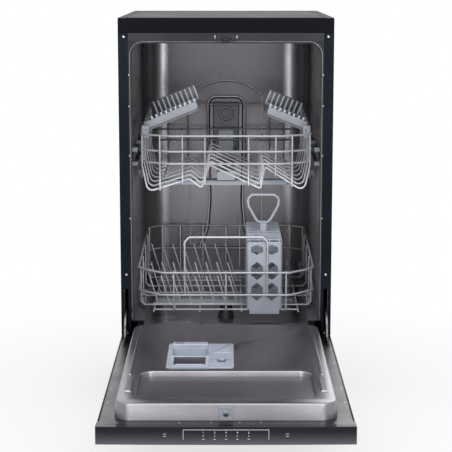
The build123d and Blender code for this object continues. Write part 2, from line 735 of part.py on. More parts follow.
# Control panel at the door's free end, with its lock and buttons
def build_control_panel():
    end = door_reach - panel_bow
    start = door_reach - panel_block
    outline = Polyline((-half_width, -end), (-half_width, -start), (half_width, -start), (half_width, -end))
    bow = ThreePointArc((half_width, -end), (0, -door_reach), (-half_width, -end))
    plan = make_face(outline + bow)
    body = Pos(0, 0, outer_z) * extrude(plan, amount=door_thickness)
    rim_end = door_reach - panel_lip
    body -= block(-half_width - 1, half_width + 1, -rim_end - seat, 0, rim_z - inner_sheet - seat, rim_z + 1)
    grip_y = -(door_reach - fascia_length)
    body += block(-half_width, half_width, -start - 1, grip_y, outer_z, outer_z + fascia_thickness)
    lock_y0 = -(door_reach - 4)
    lock_y1 = -(door_reach - 30)
    pocket_z = outer_z + fascia_thickness
    lock_top = rim_z - inner_sheet - seat
    body -= block(-lock_half - fit, lock_half + fit, lock_y0 - fit, lock_y1 + 10, pocket_z, lock_top)
    slot_y = -(striker_z - hinge_z)
    slot = block(-12, 12, slot_y - 4, slot_y + 4, rim_z - striker_reach - 3, rim_z + 1)
    body -= slot
    grip_y -= 12
    body -= block(-grip_half_width, grip_half_width, grip_y - grip_length, grip_y, outer_z - 1, outer_z + grip_depth)
    buttons = {}
    y = -(door_reach - button_offset)
    for name, x in (("power_button", -185.0), ("start_button", 185.0)):
        body -= rod((x, y, outer_z - 2), (x, y, outer_z + fascia_thickness + 1), 8 + fit)
        buttons[name] = rod((x, y, outer_z - 1.4), (x, y, outer_z + fascia_thickness - button_travel - 0.6), 8)
    x = -140.0
    hole = extrude(RectangleRounded(24 + 2 * fit, 10 + 2 * fit, 3), amount=fascia_thickness + 3)
    body -= Pos(x, y, outer_z - 2) * hole
    key = extrude(RectangleRounded(24, 10, 3 - fit), amount=fascia_thickness - button_travel + 0.8)
    buttons["program_button"] = Pos(x, y, outer_z - 1.4) * key
    save("control_panel", body)
    for name, key in buttons.items():
        save(name, key)
    lock = block(-lock_half, lock_half, lock_y0, lock_y1, pocket_z + seat, lock_top - seat)
    lock -= slot
    save("door_lock", lock)


# Detergent dispenser: body with an open cup, flip lid, latch slider and rinse-aid cap
def build_dispenser():
    top = boss_z + 1.5
    body = block(disp_x0, disp_x1, -disp_y1, -disp_y0, boss_z - 22, top)
    body = fillet(body.edges().filter_by(Axis.Z), 7)
    cup_x0 = disp_x0 + 9
    cup_x1 = cup_x0 + cup_width
    cup = Pos((cup_x0 + cup_x1) / 2, -lid_y + cup_length / 2 + 3, boss_z - 19) * extrude(
        RectangleRounded(cup_width, cup_length, 9), amount=30)
    body -= cup
    cap_x = disp_x1 - 24
    cap_y = -disp_y0 - 34
    body -= rod((cap_x, cap_y, boss_z - 10), (cap_x, cap_y, top + 1), 15 + fit)
    slider_y = -lid_y - 20
    body -= block(disp_x1 - 42, disp_x1 - 5, slider_y - 12, slider_y + 12, top - 4, top + 1)
    lug = block(cup_x0 - 5.5, cup_x0 - 2.5, -lid_y - 2.5, -lid_y + 2.5, top - 0.5, lid_axis_z + 1.9)
    lug -= rod((cup_x0 - 7, -lid_y, lid_axis_z), (cup_x0 - 1, -lid_y, lid_axis_z), lid_pin + running)
    shift = cup_width + 8
    body += lug
    body += Pos(shift, 0, 0) * lug
    save("dispenser_body", body)
    lid = block(cup_x0 - 2, cup_x1 + 2, -lid_y - cup_length - 8, -lid_y - 0.5, lid_axis_z - 1.0, lid_axis_z + 1.0)
    lid += rod((cup_x0 - 6, -lid_y, lid_axis_z), (cup_x1 + 6, -lid_y, lid_axis_z), lid_pin)
    save("dispenser_lid", lid)
    slider = block(disp_x1 - 33, disp_x1 - 14, slider_y - 11, slider_y + 11, top - 4 + seat, top + 1)
    slider -= block(disp_x1 - 28, disp_x1 - 19, slider_y - 8, slider_y + 8, top - 0.5, top + 2)
    save("dispenser_latch", slider)
    cap = rod((cap_x, cap_y, boss_z - 10 + seat), (cap_x, cap_y, top + 0.8), 15)
    cap -= block(cap_x - 10, cap_x + 10, cap_y - 2, cap_y + 2, top - 1.2, top + 2)
    save("rinse_aid_cap", cap)


# Spray arms: flat twisted paddles with a hub
def spray_arm(radius, z0, centre_y):
    half = 17.0
    tip = 13.0
    upper = [(0, -half - 6), (radius * 0.35, -half), (radius - tip, -tip)]
    lower = [(radius - tip, tip), (radius * 0.35, half), (0, half + 6)]
    end = ThreePointArc((radius - tip, -tip), (radius, 0), (radius - tip, tip))
    blade = Polyline(*upper) + end + Polyline(*lower)
    blade += Line((0, half + 6), (0, -half - 6))
    one = make_face(blade)
    outline = one + Rot(0, 0, 180) * one
    arm = extrude(outline, amount=arm_thickness)
    arm = chamfer(arm.faces().sort_by(Axis.Z)[-1].outer_wire().edges(), 3.5, 2.5)
    for i in range(5):
        r = radius * (0.3 + 0.15 * i)
        arm -= Pos(r, 4 - 2 * i, arm_thickness - 1.2) * Box(6, 2, 4)
        arm -= Pos(-r, 4 - 2 * i, arm_thickness - 1.2) * Box(2, 6, 4)
    return Pos(0, centre_y, z0) * arm


def build_spray_arms():
    low = spray_arm(lower_arm_radius, lower_arm_z, arm_y)
    low += rod((0, arm_y, lower_arm_z + arm_thickness - 1), (0, arm_y, lower_arm_z + arm_thickness + 7), 15)
    low -= rod((0, arm_y, lower_arm_z - 1), (0, arm_y, lower_arm_z + arm_thickness + 5.3), spindle_radius + running)
    save("lower_spray_arm", low)
    high = spray_arm(upper_arm_radius, upper_arm_z, arm_y)
    high -= rod((0, arm_y, upper_arm_z + 2), (0, arm_y, upper_arm_z + arm_thickness + 2), spindle_radius + running)
    save("upper_spray_arm", high)
    duct_low = upper_arm_z + arm_thickness + 1.6
    duct = block(-20, 20, arm_y - 24, upper_rear_y + rail_wire + fit + 0.5, duct_low, duct_low + feed_height)
    duct = fillet(duct.edges().filter_by(Axis.Y).group_by(Axis.Z)[-1], 6)
    mouth_back = dock_front_y - fit
    riser = block(-18, 18, upper_rear_y + rail_wire + fit, mouth_back, duct_low, dock_mouth_z + 24)
    pivot = rod((0, arm_y, upper_arm_z + 2.4), (0, arm_y, duct_low + 1), spindle_radius)
    save("upper_feed_pipe", duct + riser + pivot)


# Lower basket of coated wire. Rails run outside the uprights, long wires run under the cross wires.
def rail_slope(y, start_y, end_y, start_z, end_z):
    return start_z + (end_z - start_z) * (y - start_y) / (end_y - start_y)


def lower_rail_z(y):
    return rail_slope(y, lower_side_y0, lower_side_y1, lower_front_rail_z, lower_rear_rail_z)


def corner_rail(half, front, chamfer_x, chamfer_y, end_y, z):
    flat = half - chamfer_x
    corner = front + chamfer_y
    points = [(-half, end_y, z), (-half, corner, z), (-flat, front, z)]
    points += [(flat, front, z), (half, corner, z), (half, end_y, z)]
    return bent_rod(points, rail_wire, [8, 12, 12, 8])


def rear_rail(half, rear, z, bend):
    points = [(-half, rear - bend - 4, z), (-half, rear, z), (half, rear, z), (half, rear - bend - 4, z)]
    return bent_rod(points, rail_wire, bend)


def build_lower_basket():
    front = basket_front_y
    rear = lower_rear_y
    half = lower_half_width
    post_y = front + weld
    rear_post_y = rear - weld
    long_z = lower_floor_z - 2 * wire_radius + 0.05
    shapes = []
    for z in (lower_front_rail_z, lower_mid_rail_z):
        shapes.append(corner_rail(half, front, lower_chamfer_x, lower_chamfer_y, lower_side_y0, z))
    for x in lower_posts:
        points = [(x, post_y, lower_front_rail_z + 3), (x, post_y, long_z), (x, post_y + 12, long_z)]
        shapes.append(bent_rod(points, wire_radius, 8))
    hoop_y = front + 2 * rail_wire - 0.05
    points = [(-hoop_half_width, hoop_y, lower_mid_rail_z - 3), (-hoop_half_width, hoop_y, hoop_top_z)]
    points += [(hoop_half_width, hoop_y, hoop_top_z), (hoop_half_width, hoop_y, lower_mid_rail_z - 3)]
    shapes.append(bent_rod(points, rail_wire, 10))
    save("lower_basket_front", *shapes)

    shapes = []
    for z in (lower_rear_rail_z, lower_mid_rail_z + 15):
        shapes.append(rear_rail(half, rear, z, lower_rear_radius))
    for x in lower_posts + lower_rear_posts:
        points = [(x, rear_post_y, lower_rear_rail_z + 3), (x, rear_post_y, long_z), (x, rear_post_y - 12, long_z)]
        shapes.append(bent_rod(points, wire_radius, 8))
    save("lower_basket_rear", *shapes)

    inner = half - weld
    start = lower_side_y0 + 0.2
    end = lower_side_y1 - 0.2
    shapes = [wire((half, start, lower_rail_z(start)), (half, end, lower_rail_z(end)), rail_wire)]
    shapes.append(wire((half, start, lower_mid_rail_z), (half, end, lower_mid_rail_z + 15), rail_wire))
    for y in lower_cross:
        points = [(inner, y, lower_rail_z(y) + 3), (inner, y, lower_floor_z), (inner - 12, y, lower_floor_z)]
        shapes.append(bent_rod(points, wire_radius, 8))
    save("lower_basket_sides", *shapes, *[mirror(s, Plane.YZ) for s in shapes])

    shapes = [wire((-inner + 12, y, lower_floor_z), (inner - 12, y, lower_floor_z), wire_radius) for y in lower_cross]
    first = front + 14
    short = inner - 32
    shapes.append(wire((-short, first, lower_floor_z), (short, first, lower_floor_z), wire_radius))
    for x in lower_posts + lower_rear_posts:
        y0 = post_y + 12 if x in lower_posts else first - 3
        shapes.append(wire((x, y0, long_z), (x, rear_post_y - 12, long_z), wire_radius))
    save("lower_basket_floor", *shapes)

    tines = []
    for offset, height in tine_rows:
        y = front + offset
        last_x = tine_start_x + tine_pitch * (tine_count - 1)
        first_x = tine_start_x - tine_bar_end
        tines.append(wire((first_x, y, lower_floor_z), (last_x + tine_bar_end, y, lower_floor_z), wire_radius))
        tine_y = y + wire_radius + tine_radius - 0.05
        lean = height * math.tan(math.radians(tine_lean))
        for i in range(tine_count):
            x = tine_start_x + tine_pitch * i
            top = (x - lean, tine_y, lower_floor_z + height)
            tines.append(wire((x, tine_y, lower_floor_z - 1), top, tine_radius))
    save("plate_tines", *tines)


def build_lower_wheels():
    z = ledge_z + wheel_radius + fit
    inner = pan_half_width + 5.2
    outer = inner + wheel_width
    axle = 3.0
    roof = z + wheel_radius + 8
    carriers = []
    for name, offset, toward in (("front", lower_wheel_front, -1), ("rear", lower_wheel_rear, 1)):
        y = basket_front_y + offset
        wheel = rod((inner, y, z), (outer, y, z), wheel_radius)
        wheel -= bore((inner - 1, y, z), (outer + 1, y, z), axle)
        save("lower_" + name + "_wheels", *pair(wheel))
        cheek = block(inner - 3.4, inner - 0.8, y - 13, y + 13, ledge_z + 5, roof)
        cheek = fillet(cheek.edges().filter_by(Axis.X).group_by(Axis.Z)[0], 8)
        wire_y = min(lower_cross, key=lambda c: abs(c - (y + toward * 40)))
        reach = wire_y - toward * (wire_radius + 0.1)
        top = block(inner - 3.4, outer + 1, min(reach, y - 13), max(reach, y + 13), roof - 4, roof)
        pin = peg((inner - 2, y, z), (outer + 0.6, y, z), axle)
        carriers += pair(cheek + top + pin)
    save("lower_wheel_housings", *carriers)


# Cutlery basket: moulded walls with honeycomb windows, a grid of crossed bars on top and a loop handle
def hexagon(width, height):
    points = [(-width / 2, -height / 4), (0, -height / 2), (width / 2, -height / 4)]
    points += [(width / 2, height / 4), (0, height / 2), (-width / 2, height / 4)]
    return make_face(Polyline(*points, close=True))


def build_cutlery_basket():
    low = lower_floor_z + wire_radius + fit
    y0 = basket_front_y + 8
    y1 = y0 + cutlery_length
    x0 = cutlery_x - cutlery_width / 2
    x1 = cutlery_x + cutlery_width / 2
    w = cutlery_wall
    centre_y = (y0 + y1) / 2
    body = block(x0, x1, y0, y1, low, cutlery_top_z)
    body = fillet(body.edges().filter_by(Axis.Z), 6)
    for a, b in ((y0 + w, centre_y - w / 2), (centre_y + w / 2, y1 - w)):
        body -= block(x0 + w, x1 - w, a, b, low + w, cutlery_top_z + 1)
    rows = [(low + 38, 40), (low + 84, 40), (cutlery_top_z - 17, 22)]
    columns = int((cutlery_length - 20) // window_pitch)
    for z, height in rows:
        for i in range(columns):
            y = centre_y + window_pitch * (i - (columns - 1) / 2)
            if abs(y - centre_y) < 13:
                continue
            face = Plane((x0 - 1, y, z), x_dir=(0, 1, 0), z_dir=(1, 0, 0)) * hexagon(23, height)
            body -= extrude(face, amount=cutlery_width + 2)
        for i in (-1, 1):
            face = Plane((cutlery_x + 16 * i, y0 - 1, z), x_dir=(1, 0, 0), z_dir=(0, 1, 0)) * hexagon(26, height)
            body -= extrude(face, amount=cutlery_length + 2)
    skirt = block(x0 + 6, x1 - 6, y0, y0 + w, low - cutlery_skirt, low + 1)
    save("cutlery_basket", body + skirt)
    bars = []
    bar = cutlery_bar
    for i in range(4):
        x = x0 + 6 + (cutlery_width - 12) * i / 3
        bars.append(block(x - bar / 2, x + bar / 2, y0 + 1, y1 - 1, cutlery_top_z, cutlery_top_z + bar))
    for i in range(cutlery_bars):
        y = y0 + 8 + (cutlery_length - 16) * i / (cutlery_bars - 1)
        bars.append(block(x0 + 1, x1 - 1, y - bar / 2, y + bar / 2, cutlery_top_z + bar, cutlery_top_z + 2 * bar))
    top = cutlery_handle_z - cutlery_loop_wire
    points = [(0, 24), (13, 24), (36, 66), (31, top - cutlery_top_z)]
    points += [(-x, z) for x, z in reversed(points)]
    points = [(cutlery_x + x, centre_y, cutlery_top_z + z) for x, z in points]
    loop = bent_rod(points, cutlery_loop_wire, [8, 16, 9, 9, 16, 8])
    stem = block(cutlery_x - 7, cutlery_x + 7, centre_y - 1.2, centre_y + 1.2, cutlery_top_z, cutlery_top_z + 24)
    save("cutlery_grid", loop + stem, *bars)


# Upper basket of coated wire, with a floor of wave-shaped wires
def wave_drop(x):
    for a, b in zip(wave_shape, wave_shape[1:]):
        if a[0] <= x <= b[0]:
            slope = (b[1] - a[1]) / (b[0] - a[0])
            return a[1] + slope * (x - a[0]) - (2 * wire_radius - 0.05) * math.sqrt(1 + slope * slope)


def upper_rail_z(y):
    return rail_slope(y, upper_side_y0, upper_side_y1, upper_front_rail_z, upper_rear_rail_z)


def build_upper_basket():
    front = basket_front_y
    rear = upper_rear_y
    half = upper_half_width
    post_y = front + weld
    rear_post_y = rear - weld
    shapes = []
    for z in (upper_front_rail_z, upper_mid_rail_z, upper_low_rail_z):
        shapes.append(corner_rail(half, front, upper_chamfer_x, upper_chamfer_y, upper_side_y0, z))
    for x in upper_posts:
        z = wave_drop(x)
        points = [(x, post_y, upper_front_rail_z + 3), (x, post_y, z), (x, post_y + 9, z)]
        shapes.append(bent_rod(points, wire_radius, 6))
    save("upper_basket_front", *shapes)

    shapes = []
    for z in (upper_rear_rail_z, upper_mid_rail_z, upper_low_rail_z):
        shapes.append(rear_rail(half, rear, z, 24))
    for x in upper_posts:
        z = wave_drop(x)
        points = [(x, rear_post_y, upper_rear_rail_z + 3), (x, rear_post_y, z), (x, rear_post_y - 9, z)]
        shapes.append(bent_rod(points, wire_radius, 6))
    save("upper_basket_rear", *shapes)

    start = upper_side_y0 + 0.2
    end = upper_side_y1 - 0.2
    shapes = [wire((half, start, upper_rail_z(start)), (half, end, upper_rail_z(end)), rail_wire)]
    for z in (upper_mid_rail_z, upper_low_rail_z):
        shapes.append(wire((half, start, z), (half, end, z), rail_wire))
    leg_x = half - weld
    foot = wave_shape[-1]
    for y in wave_ys:
        points = [(leg_x, y, upper_rail_z(y) + 3), (leg_x, y, upper_low_rail_z - 5), (foot[0], y, foot[1])]
        shapes.append(bent_rod(points, wire_radius, 6))
    save("upper_basket_sides", *shapes, *[mirror(s, Plane.YZ) for s in shapes])

    shapes = []
    for y in wave_ys:
        points = [(x, y, z) for x, z in wave_shape]
        shapes.append(bent_rod(points, wire_radius, [12, 0, 0, 0, 0, 0, 12]))
    for x in upper_posts:
        z = wave_drop(x)
        shapes.append(wire((x, post_y + 9, z), (x, rear_post_y - 9, z), wire_radius))
    save("upper_basket_floor", *shapes)


def build_upper_running_gear():
    x0 = upper_half_width + rail_wire + 0.2
    x1 = x0 + 1.6
    wheel_x0 = x1 + 1.2
    wheel_x1 = wheel_x0 + roller_width
    web_x = wheel_x1 + 1.2
    flange_x = x1 + 0.5
    axle = 2.5
    carriers = []
    spare_z = roller_z - roller_drop
    for name, y in (("front", basket_front_y + roller_front_y), ("rear", basket_front_y + roller_rear_y)):
        plate = block(x0, x1, y - 15, y + 15, spare_z - 13, roller_z + 14)
        plate = chamfer(plate.edges().filter_by(Axis.X), 6)
        plate += peg((x1 - 0.5, y, roller_z), (wheel_x1 + 0.3, y, roller_z), axle)
        plate += peg((x1 - 0.5, y, spare_z), (wheel_x1 + 0.3, y, spare_z), axle)
        plate += drum((wheel_x0, y, spare_z), (wheel_x1, y, spare_z), roller_radius)
        carriers += pair(plate)
        roller = rod((wheel_x0, y, roller_z), (wheel_x1, y, roller_z), roller_radius)
        roller -= bore((wheel_x0 - 1, y, roller_z), (wheel_x1 + 1, y, roller_z), axle)
        save("upper_" + name + "_rollers", *pair(roller))
    clip_y = shelf_start_y
    outer = upper_half_width - rail_wire - seat
    for a, b in ((clip_y - 10, clip_y - 1), (clip_y + shelf_length + 1, clip_y + shelf_length + 10)):
        clip = block(shelf_hinge_x - 6, outer, a, b, shelf_hinge_z - 16, shelf_hinge_z + 10)
        clip -= bore((shelf_hinge_x, a - 1, shelf_hinge_z), (shelf_hinge_x, b + 1, shelf_hinge_z), shelf_pin)
        carriers += pair(clip)
    save("roller_carriers", *carriers)
    y0 = rail_start_y
    y1 = y0 + rail_length
    reach = roller_radius + 0.4
    outside = reach + rail_sheet
    web = block(web_x, web_x + rail_sheet, y0, y1, roller_z - outside, roller_z + outside)
    channel = web
    for z0 in (roller_z - outside, roller_z + reach):
        channel += block(flange_x, web_x + rail_sheet, y0, y1, z0, z0 + rail_sheet)
    save("upper_rails", *pair(channel))
    guides = []
    for y in (y0 + 4, y0 + 140):
        for low in (roller_z + outside + fit, roller_z - outside - 8):
            guides += pair(block(wheel_x0, tub_half_width, y, y + 18, low, low + 8 - fit))
    save("rail_guides", *guides)


# Cup shelves: moulded trays that tilt on clips at the basket's sides
def cup_shelf(width):
    length = shelf_length
    slots = int((width - 14) // 12)
    floor = block(2, width, 0, length, -1.25, 1.25)
    comb = block(12, width, length - 2.5, length, -1, 33)
    for i in range(slots):
        x = 10 + 12 * i
        floor -= block(x, x + 7.5, 12, length - 14, -3, 3)
        comb -= block(x + 3, x + 9, length - 4, length + 1, 10, 40)
    wall = block(2, width, 0, 2.5, -3, 18)
    edge = block(width - 2.5, width, 0, length, -3, 6)
    sleeve = peg((0, 0, 0), (0, length, 0), 4)
    axle = peg((0, -8, 0), (0, length + 8, 0), shelf_pin)
    return floor + comb + wall + edge + sleeve + axle


def build_cup_shelves():
    y = shelf_start_y
    left = Pos(-shelf_hinge_x, y, shelf_hinge_z) * Rot(0, -shelf_tilt, 0) * cup_shelf(left_shelf_width)
    save("left_cup_shelf", left)
    right = mirror(cup_shelf(right_shelf_width), Plane.YZ)
    save("right_cup_shelf", Pos(shelf_hinge_x, y, shelf_hinge_z) * Rot(0, shelf_tilt, 0) * right)


build_worktop()
build_side_panels()
build_back_panel()
build_cross_rail()
build_tub()
build_dock_port()
build_tub_floor()
build_underworks()
build_base()
build_services()
build_hinges()
build_door_outer()
build_door_inner()
build_control_panel()
build_dispenser()
build_spray_arms()
build_lower_basket()
build_lower_wheels()
build_cutlery_basket()
build_upper_basket()
build_upper_running_gear()
build_cup_shelves()
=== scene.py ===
import json
import math

import bmesh
import bpy
from mathutils import Matrix, Quaternion, Vector

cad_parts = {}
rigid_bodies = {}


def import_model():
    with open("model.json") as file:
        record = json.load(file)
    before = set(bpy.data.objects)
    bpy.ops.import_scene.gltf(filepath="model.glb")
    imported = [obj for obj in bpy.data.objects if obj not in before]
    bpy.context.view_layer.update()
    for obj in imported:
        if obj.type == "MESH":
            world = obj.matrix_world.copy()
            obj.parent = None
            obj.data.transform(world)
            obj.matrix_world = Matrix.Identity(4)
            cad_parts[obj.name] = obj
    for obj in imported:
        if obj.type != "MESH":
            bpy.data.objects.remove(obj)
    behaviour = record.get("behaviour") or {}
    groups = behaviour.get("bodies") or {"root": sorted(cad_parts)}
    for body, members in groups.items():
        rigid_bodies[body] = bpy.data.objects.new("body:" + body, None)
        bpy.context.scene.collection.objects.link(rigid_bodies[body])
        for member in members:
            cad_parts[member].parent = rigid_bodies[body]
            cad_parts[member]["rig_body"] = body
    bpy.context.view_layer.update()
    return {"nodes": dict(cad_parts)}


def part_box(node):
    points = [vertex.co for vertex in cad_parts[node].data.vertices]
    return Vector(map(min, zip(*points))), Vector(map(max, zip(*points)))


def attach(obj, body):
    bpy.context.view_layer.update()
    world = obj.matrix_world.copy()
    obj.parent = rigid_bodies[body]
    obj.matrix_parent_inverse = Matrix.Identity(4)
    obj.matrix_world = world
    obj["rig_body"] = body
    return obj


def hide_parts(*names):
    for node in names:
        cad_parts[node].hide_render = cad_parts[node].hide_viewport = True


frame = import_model()
nodes = frame["nodes"]
print("frame loaded:", len(nodes), "pieces from the CAD")

mm = 0.001
tiny = 0.01 * mm  # points nearer than this count as one
frontY = 35.75  # how far the cabinet's front plane stands behind the origin, in millimetres


# One number or colour that runs through a material
class Value:
    def __init__(self, look, socket):
        self.look = look
        self.socket = socket

    def math(self, operation, other=None, flipped=False):
        pair = [self] if other is None else [self, other]
        if flipped:
            pair.reverse()
        return self.look.add("ShaderNodeMath", {"operation": operation}, pair)

    def __add__(self, other):
        return self.math("ADD", other)

    __radd__ = __add__

    def __sub__(self, other):
        return self.math("SUBTRACT", other)

    def __rsub__(self, other):
        return self.math("SUBTRACT", other, True)

    def __mul__(self, other):
        return self.math("MULTIPLY", other)

    __rmul__ = __mul__

    def __truediv__(self, other):
        return self.math("DIVIDE", other)

    def __rtruediv__(self, other):
        return self.math("DIVIDE", other, True)

    def __pow__(self, other):
        return self.math("POWER", other)


class Look:
    def __init__(self, name, colour, roughness, metallic=0.0, **fixed):
        self.material = bpy.data.materials.new(name)
        self.material.use_nodes = True
        self.tree = self.material.node_tree
        self.shader = self.tree.nodes["Principled BSDF"]
        self.shader.inputs["Base Color"].default_value = (*colour, 1.0)
        self.shader.inputs["Roughness"].default_value = roughness
        self.shader.inputs["Metallic"].default_value = metallic
        for socketName, value in fixed.items():
            self.shader.inputs[socketName.replace("_", " ")].default_value = value

    def add(self, kind, settings=None, values=(), output=0):
        node = self.tree.nodes.new(kind)
        for key, value in (settings or {}).items():
            setattr(node, key, value)
        pairs = values.items() if isinstance(values, dict) else enumerate(values)
        for key, value in pairs:
            self.join(value, node.inputs[key])
        return Value(self, node.outputs[output])

    def join(self, value, socket):
        if isinstance(value, Value):
            self.tree.links.new(value.socket, socket)
        elif isinstance(value, (tuple, list)) and len(value) == 3 and len(socket.default_value) == 4:
            socket.default_value = (*value, 1.0)
        else:
            socket.default_value = value

    def axis(self, which):
        where = self.add("ShaderNodeTexCoord", output="Object")
        return self.add("ShaderNodeSeparateXYZ", values=[where], output=which)

    def noise(self, size, detail=3.0, rough=0.55, stretch=(1, 1, 1)):
        where = self.add("ShaderNodeTexCoord", output="Object")
        scaled = self.add("ShaderNodeMapping", values={"Vector": where, "Scale": stretch})
        values = {"Vector": scaled, "Scale": 1.0 / size, "Detail": detail, "Roughness": rough}
        return self.add("ShaderNodeTexNoise", values=values)

    def blendColour(self, factor, first, second):
        values = {"Factor": factor, 6: first, 7: second}
        return self.add("ShaderNodeMix", {"data_type": "RGBA", "clamp_factor": True}, values, 2)

    # Maps one range to another; a noise pattern keeps mostly between 0.3 and 0.7
    def span(self, value, low, high, fromLow=0.3, fromHigh=0.7):
        return self.add("ShaderNodeMapRange", {"clamp": True}, [value, fromLow, fromHigh, low, high])

    def feed(self, socketName, value):
        self.join(value, self.shader.inputs[socketName])

    def bump(self, height, strength, distance):
        values = {"Strength": strength, "Distance": distance, "Height": height}
        self.feed("Normal", self.add("ShaderNodeBump", values=values))
        return self


# Turns a display colour into the linear one that materials take
def shade(r, g, b):
    def one(level):
        level = level / 255
        return level / 12.92 if level <= 0.04045 else ((level + 0.055) / 1.055) ** 2.4
    return (one(r), one(g), one(b))


# Colours of the finishes
finish = {
    "paintDark": shade(10, 16, 25),
    "doorDark": shade(18, 22, 30),
    "worktopGrey": shade(58, 58, 60),
    "trimDark": shade(8, 10, 16),
    # Painted reflection on the tops of the worktop frame's side ends
    "trimReflectionGrey": shade(90, 91, 94),
    "steel": shade(91, 89, 93),
    # Painted light: the tub's lower wall, lighter towards the bottom
    "lowLitSteel": shade(126, 124, 128),
    # Painted highlight on the tub's back corners
    "cornerHighlightSteel": shade(138, 137, 141),
    # Painted shade: the tub's front flange, darkened to stand in for a dark reflection
    "flangeShadeSteel": shade(34, 33, 37),
    # Painted light: the door's stainless steel is a lighter copy of the tub's steel, for the light its face
    # catches
    "doorSteel": shade(144, 142, 147),
    # Painted shade: steel below the door's rim top, darkened to stand in for a dark reflection
    "rimShadeSteel": shade(60, 59, 63),
    "bareSteel": shade(96, 97, 101),
    "railSteel": shade(50, 49, 54),
    "zinc": shade(88, 89, 93),
    "plastic": shade(136, 141, 151),
    "plasticCool": shade(170, 177, 191),
    "plasticPale": shade(128, 132, 141),
    "white": shade(205, 205, 200),
    # Painted light: a lighter copy of the shelves' plastic for their teeth
    "litToothPlastic": shade(186, 192, 203),
    "wire": shade(160, 162, 166),
    # Painted shade: a darker copy of the wire colour for the basket's rear
    "wireFar": shade(88, 89, 94),
    "rubber": shade(22, 22, 24),
    "rubberBloom": shade(62, 62, 64),
    "darkPlastic": shade(40, 41, 45),
    "portPlastic": shade(60, 61, 66),
    "button": shade(120, 121, 126),
    "panelTop": shade(26, 26, 34),
    "panelFoot": shade(84, 84, 89),
    "print": shade(200, 201, 206),
    "screw": shade(170, 171, 174),
    # Painted highlight along the pressed edges of the tub's back wall
    "pressedHighlight": shade(200, 198, 202),
}

# Sizes of the patterns in the finishes and the depths of their bumps, in metres
pattern = {
    "peel": 0.0016, "peelDepth": 0.0003, "paintCloud": 0.12,
    "brush": 0.0012, "brushDepth": 0.0002, "steelCloud": 0.09,
    "plasticSkin": 0.0007, "plasticDepth": 0.00025, "plasticCloud": 0.05,
    "wireSkin": 0.0012, "wireDepth": 0.0002, "wireRuns": 0.012,
    "fasciaSkin": 0.0009, "fasciaDepth": 0.0002,
    "trimSkin": 0.0009, "trimDepth": 0.00025,
    "rubberSkin": 0.0011, "rubberDepth": 0.0003, "rubberBloom": 0.03,
}

# Where a finish changes its tone, in metres along an axis; all but the fascia's edge bound painted shade,
# highlight and reflection
zones = {
    "rimTop": 178.7 * mm,
    "flangeBack": (frontY + 2.2) * mm,
    "wall": (0.36, 0.66),
    "backCorner": (0.490, 0.520),
    "sideCorner": (0.138, 0.156),
    "fasciaEdge": 0.006,
    "trimWidth": 0.0166,
    "trimTop": 0.0008,
}


def paintedSheet(name, colour, roughness=0.34, shine=0.07):
    look = Look(name, colour, roughness, Specular_IOR_Level=shine)
    peel = look.noise(pattern["peel"], 2.0)
    cloud = look.noise(pattern["paintCloud"])
    lifted = tuple(min(1.0, c * 1.22 + 0.002) for c in colour)
    look.feed("Base Color", look.blendColour(look.span(cloud, 0.0, 1.0, 0.35, 0.7), colour, lifted))
    look.feed("Roughness", look.span(cloud, roughness - 0.05, roughness + 0.07))
    return look.bump(peel, 0.10, pattern["peelDepth"])


def brushedSteel(name, colour, roughness, grain, wipe=0.06, metal=1.0, rim=False, corner=False,
                 flange=False):
    look = Look(name, colour, roughness, metal)
    lines = look.noise(pattern["brush"], 3.0, 0.6, grain)
    cloud = look.noise(pattern["steelCloud"])
    darker = tuple(c * 0.84 for c in colour)
    mixed = look.span(lines, 0.0, 0.5, 0.25, 0.75) + look.span(cloud, 0.0, 0.5)
    tone = look.blendColour(mixed, darker, colour)
    # Painted shade: below the rim's top the steel is darkened to stand in for a dark reflection
    if rim:
        belowRim = look.axis("Z").math("LESS_THAN", zones["rimTop"])
        tone = look.blendColour(belowRim, tone, finish["rimShadeSteel"])
    # Painted light: the wall lightens towards the bottom, and the back corners carry a painted highlight
    if corner:
        lowDown = look.span(look.axis("Z"), 1.0, 0.0, *zones["wall"])
        tone = look.blendColour(lowDown, tone, finish["lowLitSteel"])
        # Painted highlight: lighter steel where the back wall curves into the sides
        nearBack = look.span(look.axis("Y"), 0.0, 1.0, *zones["backCorner"])
        nearSide = look.span(look.axis("X").math("ABSOLUTE"), 0.0, 1.0, *zones["sideCorner"])
        tone = look.blendColour(nearBack * nearSide, tone, finish["cornerHighlightSteel"])
    # Painted shade: the front flange is darkened to stand in for a dark reflection
    if flange:
        onFlange = look.axis("Y").math("LESS_THAN", zones["flangeBack"])
        tone = look.blendColour(onFlange, tone, finish["flangeShadeSteel"])
    look.feed("Base Color", tone)
    wiped = look.span(cloud, roughness - wipe, roughness + wipe)
    look.feed("Roughness", wiped + look.span(lines, -0.03, 0.03))
    return look.bump(lines, 0.03, pattern["brushDepth"])


def mouldedPlastic(name, colour, roughness, grain=pattern["plasticSkin"], depth=0.12, vary=0.10):
    look = Look(name, colour, roughness, IOR=1.49)
    skin = look.noise(grain)
    cloud = look.noise(pattern["plasticCloud"])
    darker = tuple(c * (1 - vary) for c in colour)
    lighter = tuple(min(1.0, c * (1 + vary * 0.7)) for c in colour)
    look.feed("Base Color", look.blendColour(look.span(cloud, 0.0, 1.0), darker, lighter))
    look.feed("Roughness", look.span(cloud, roughness - 0.05, roughness + 0.06))
    return look.bump(skin, depth, pattern["plasticDepth"])


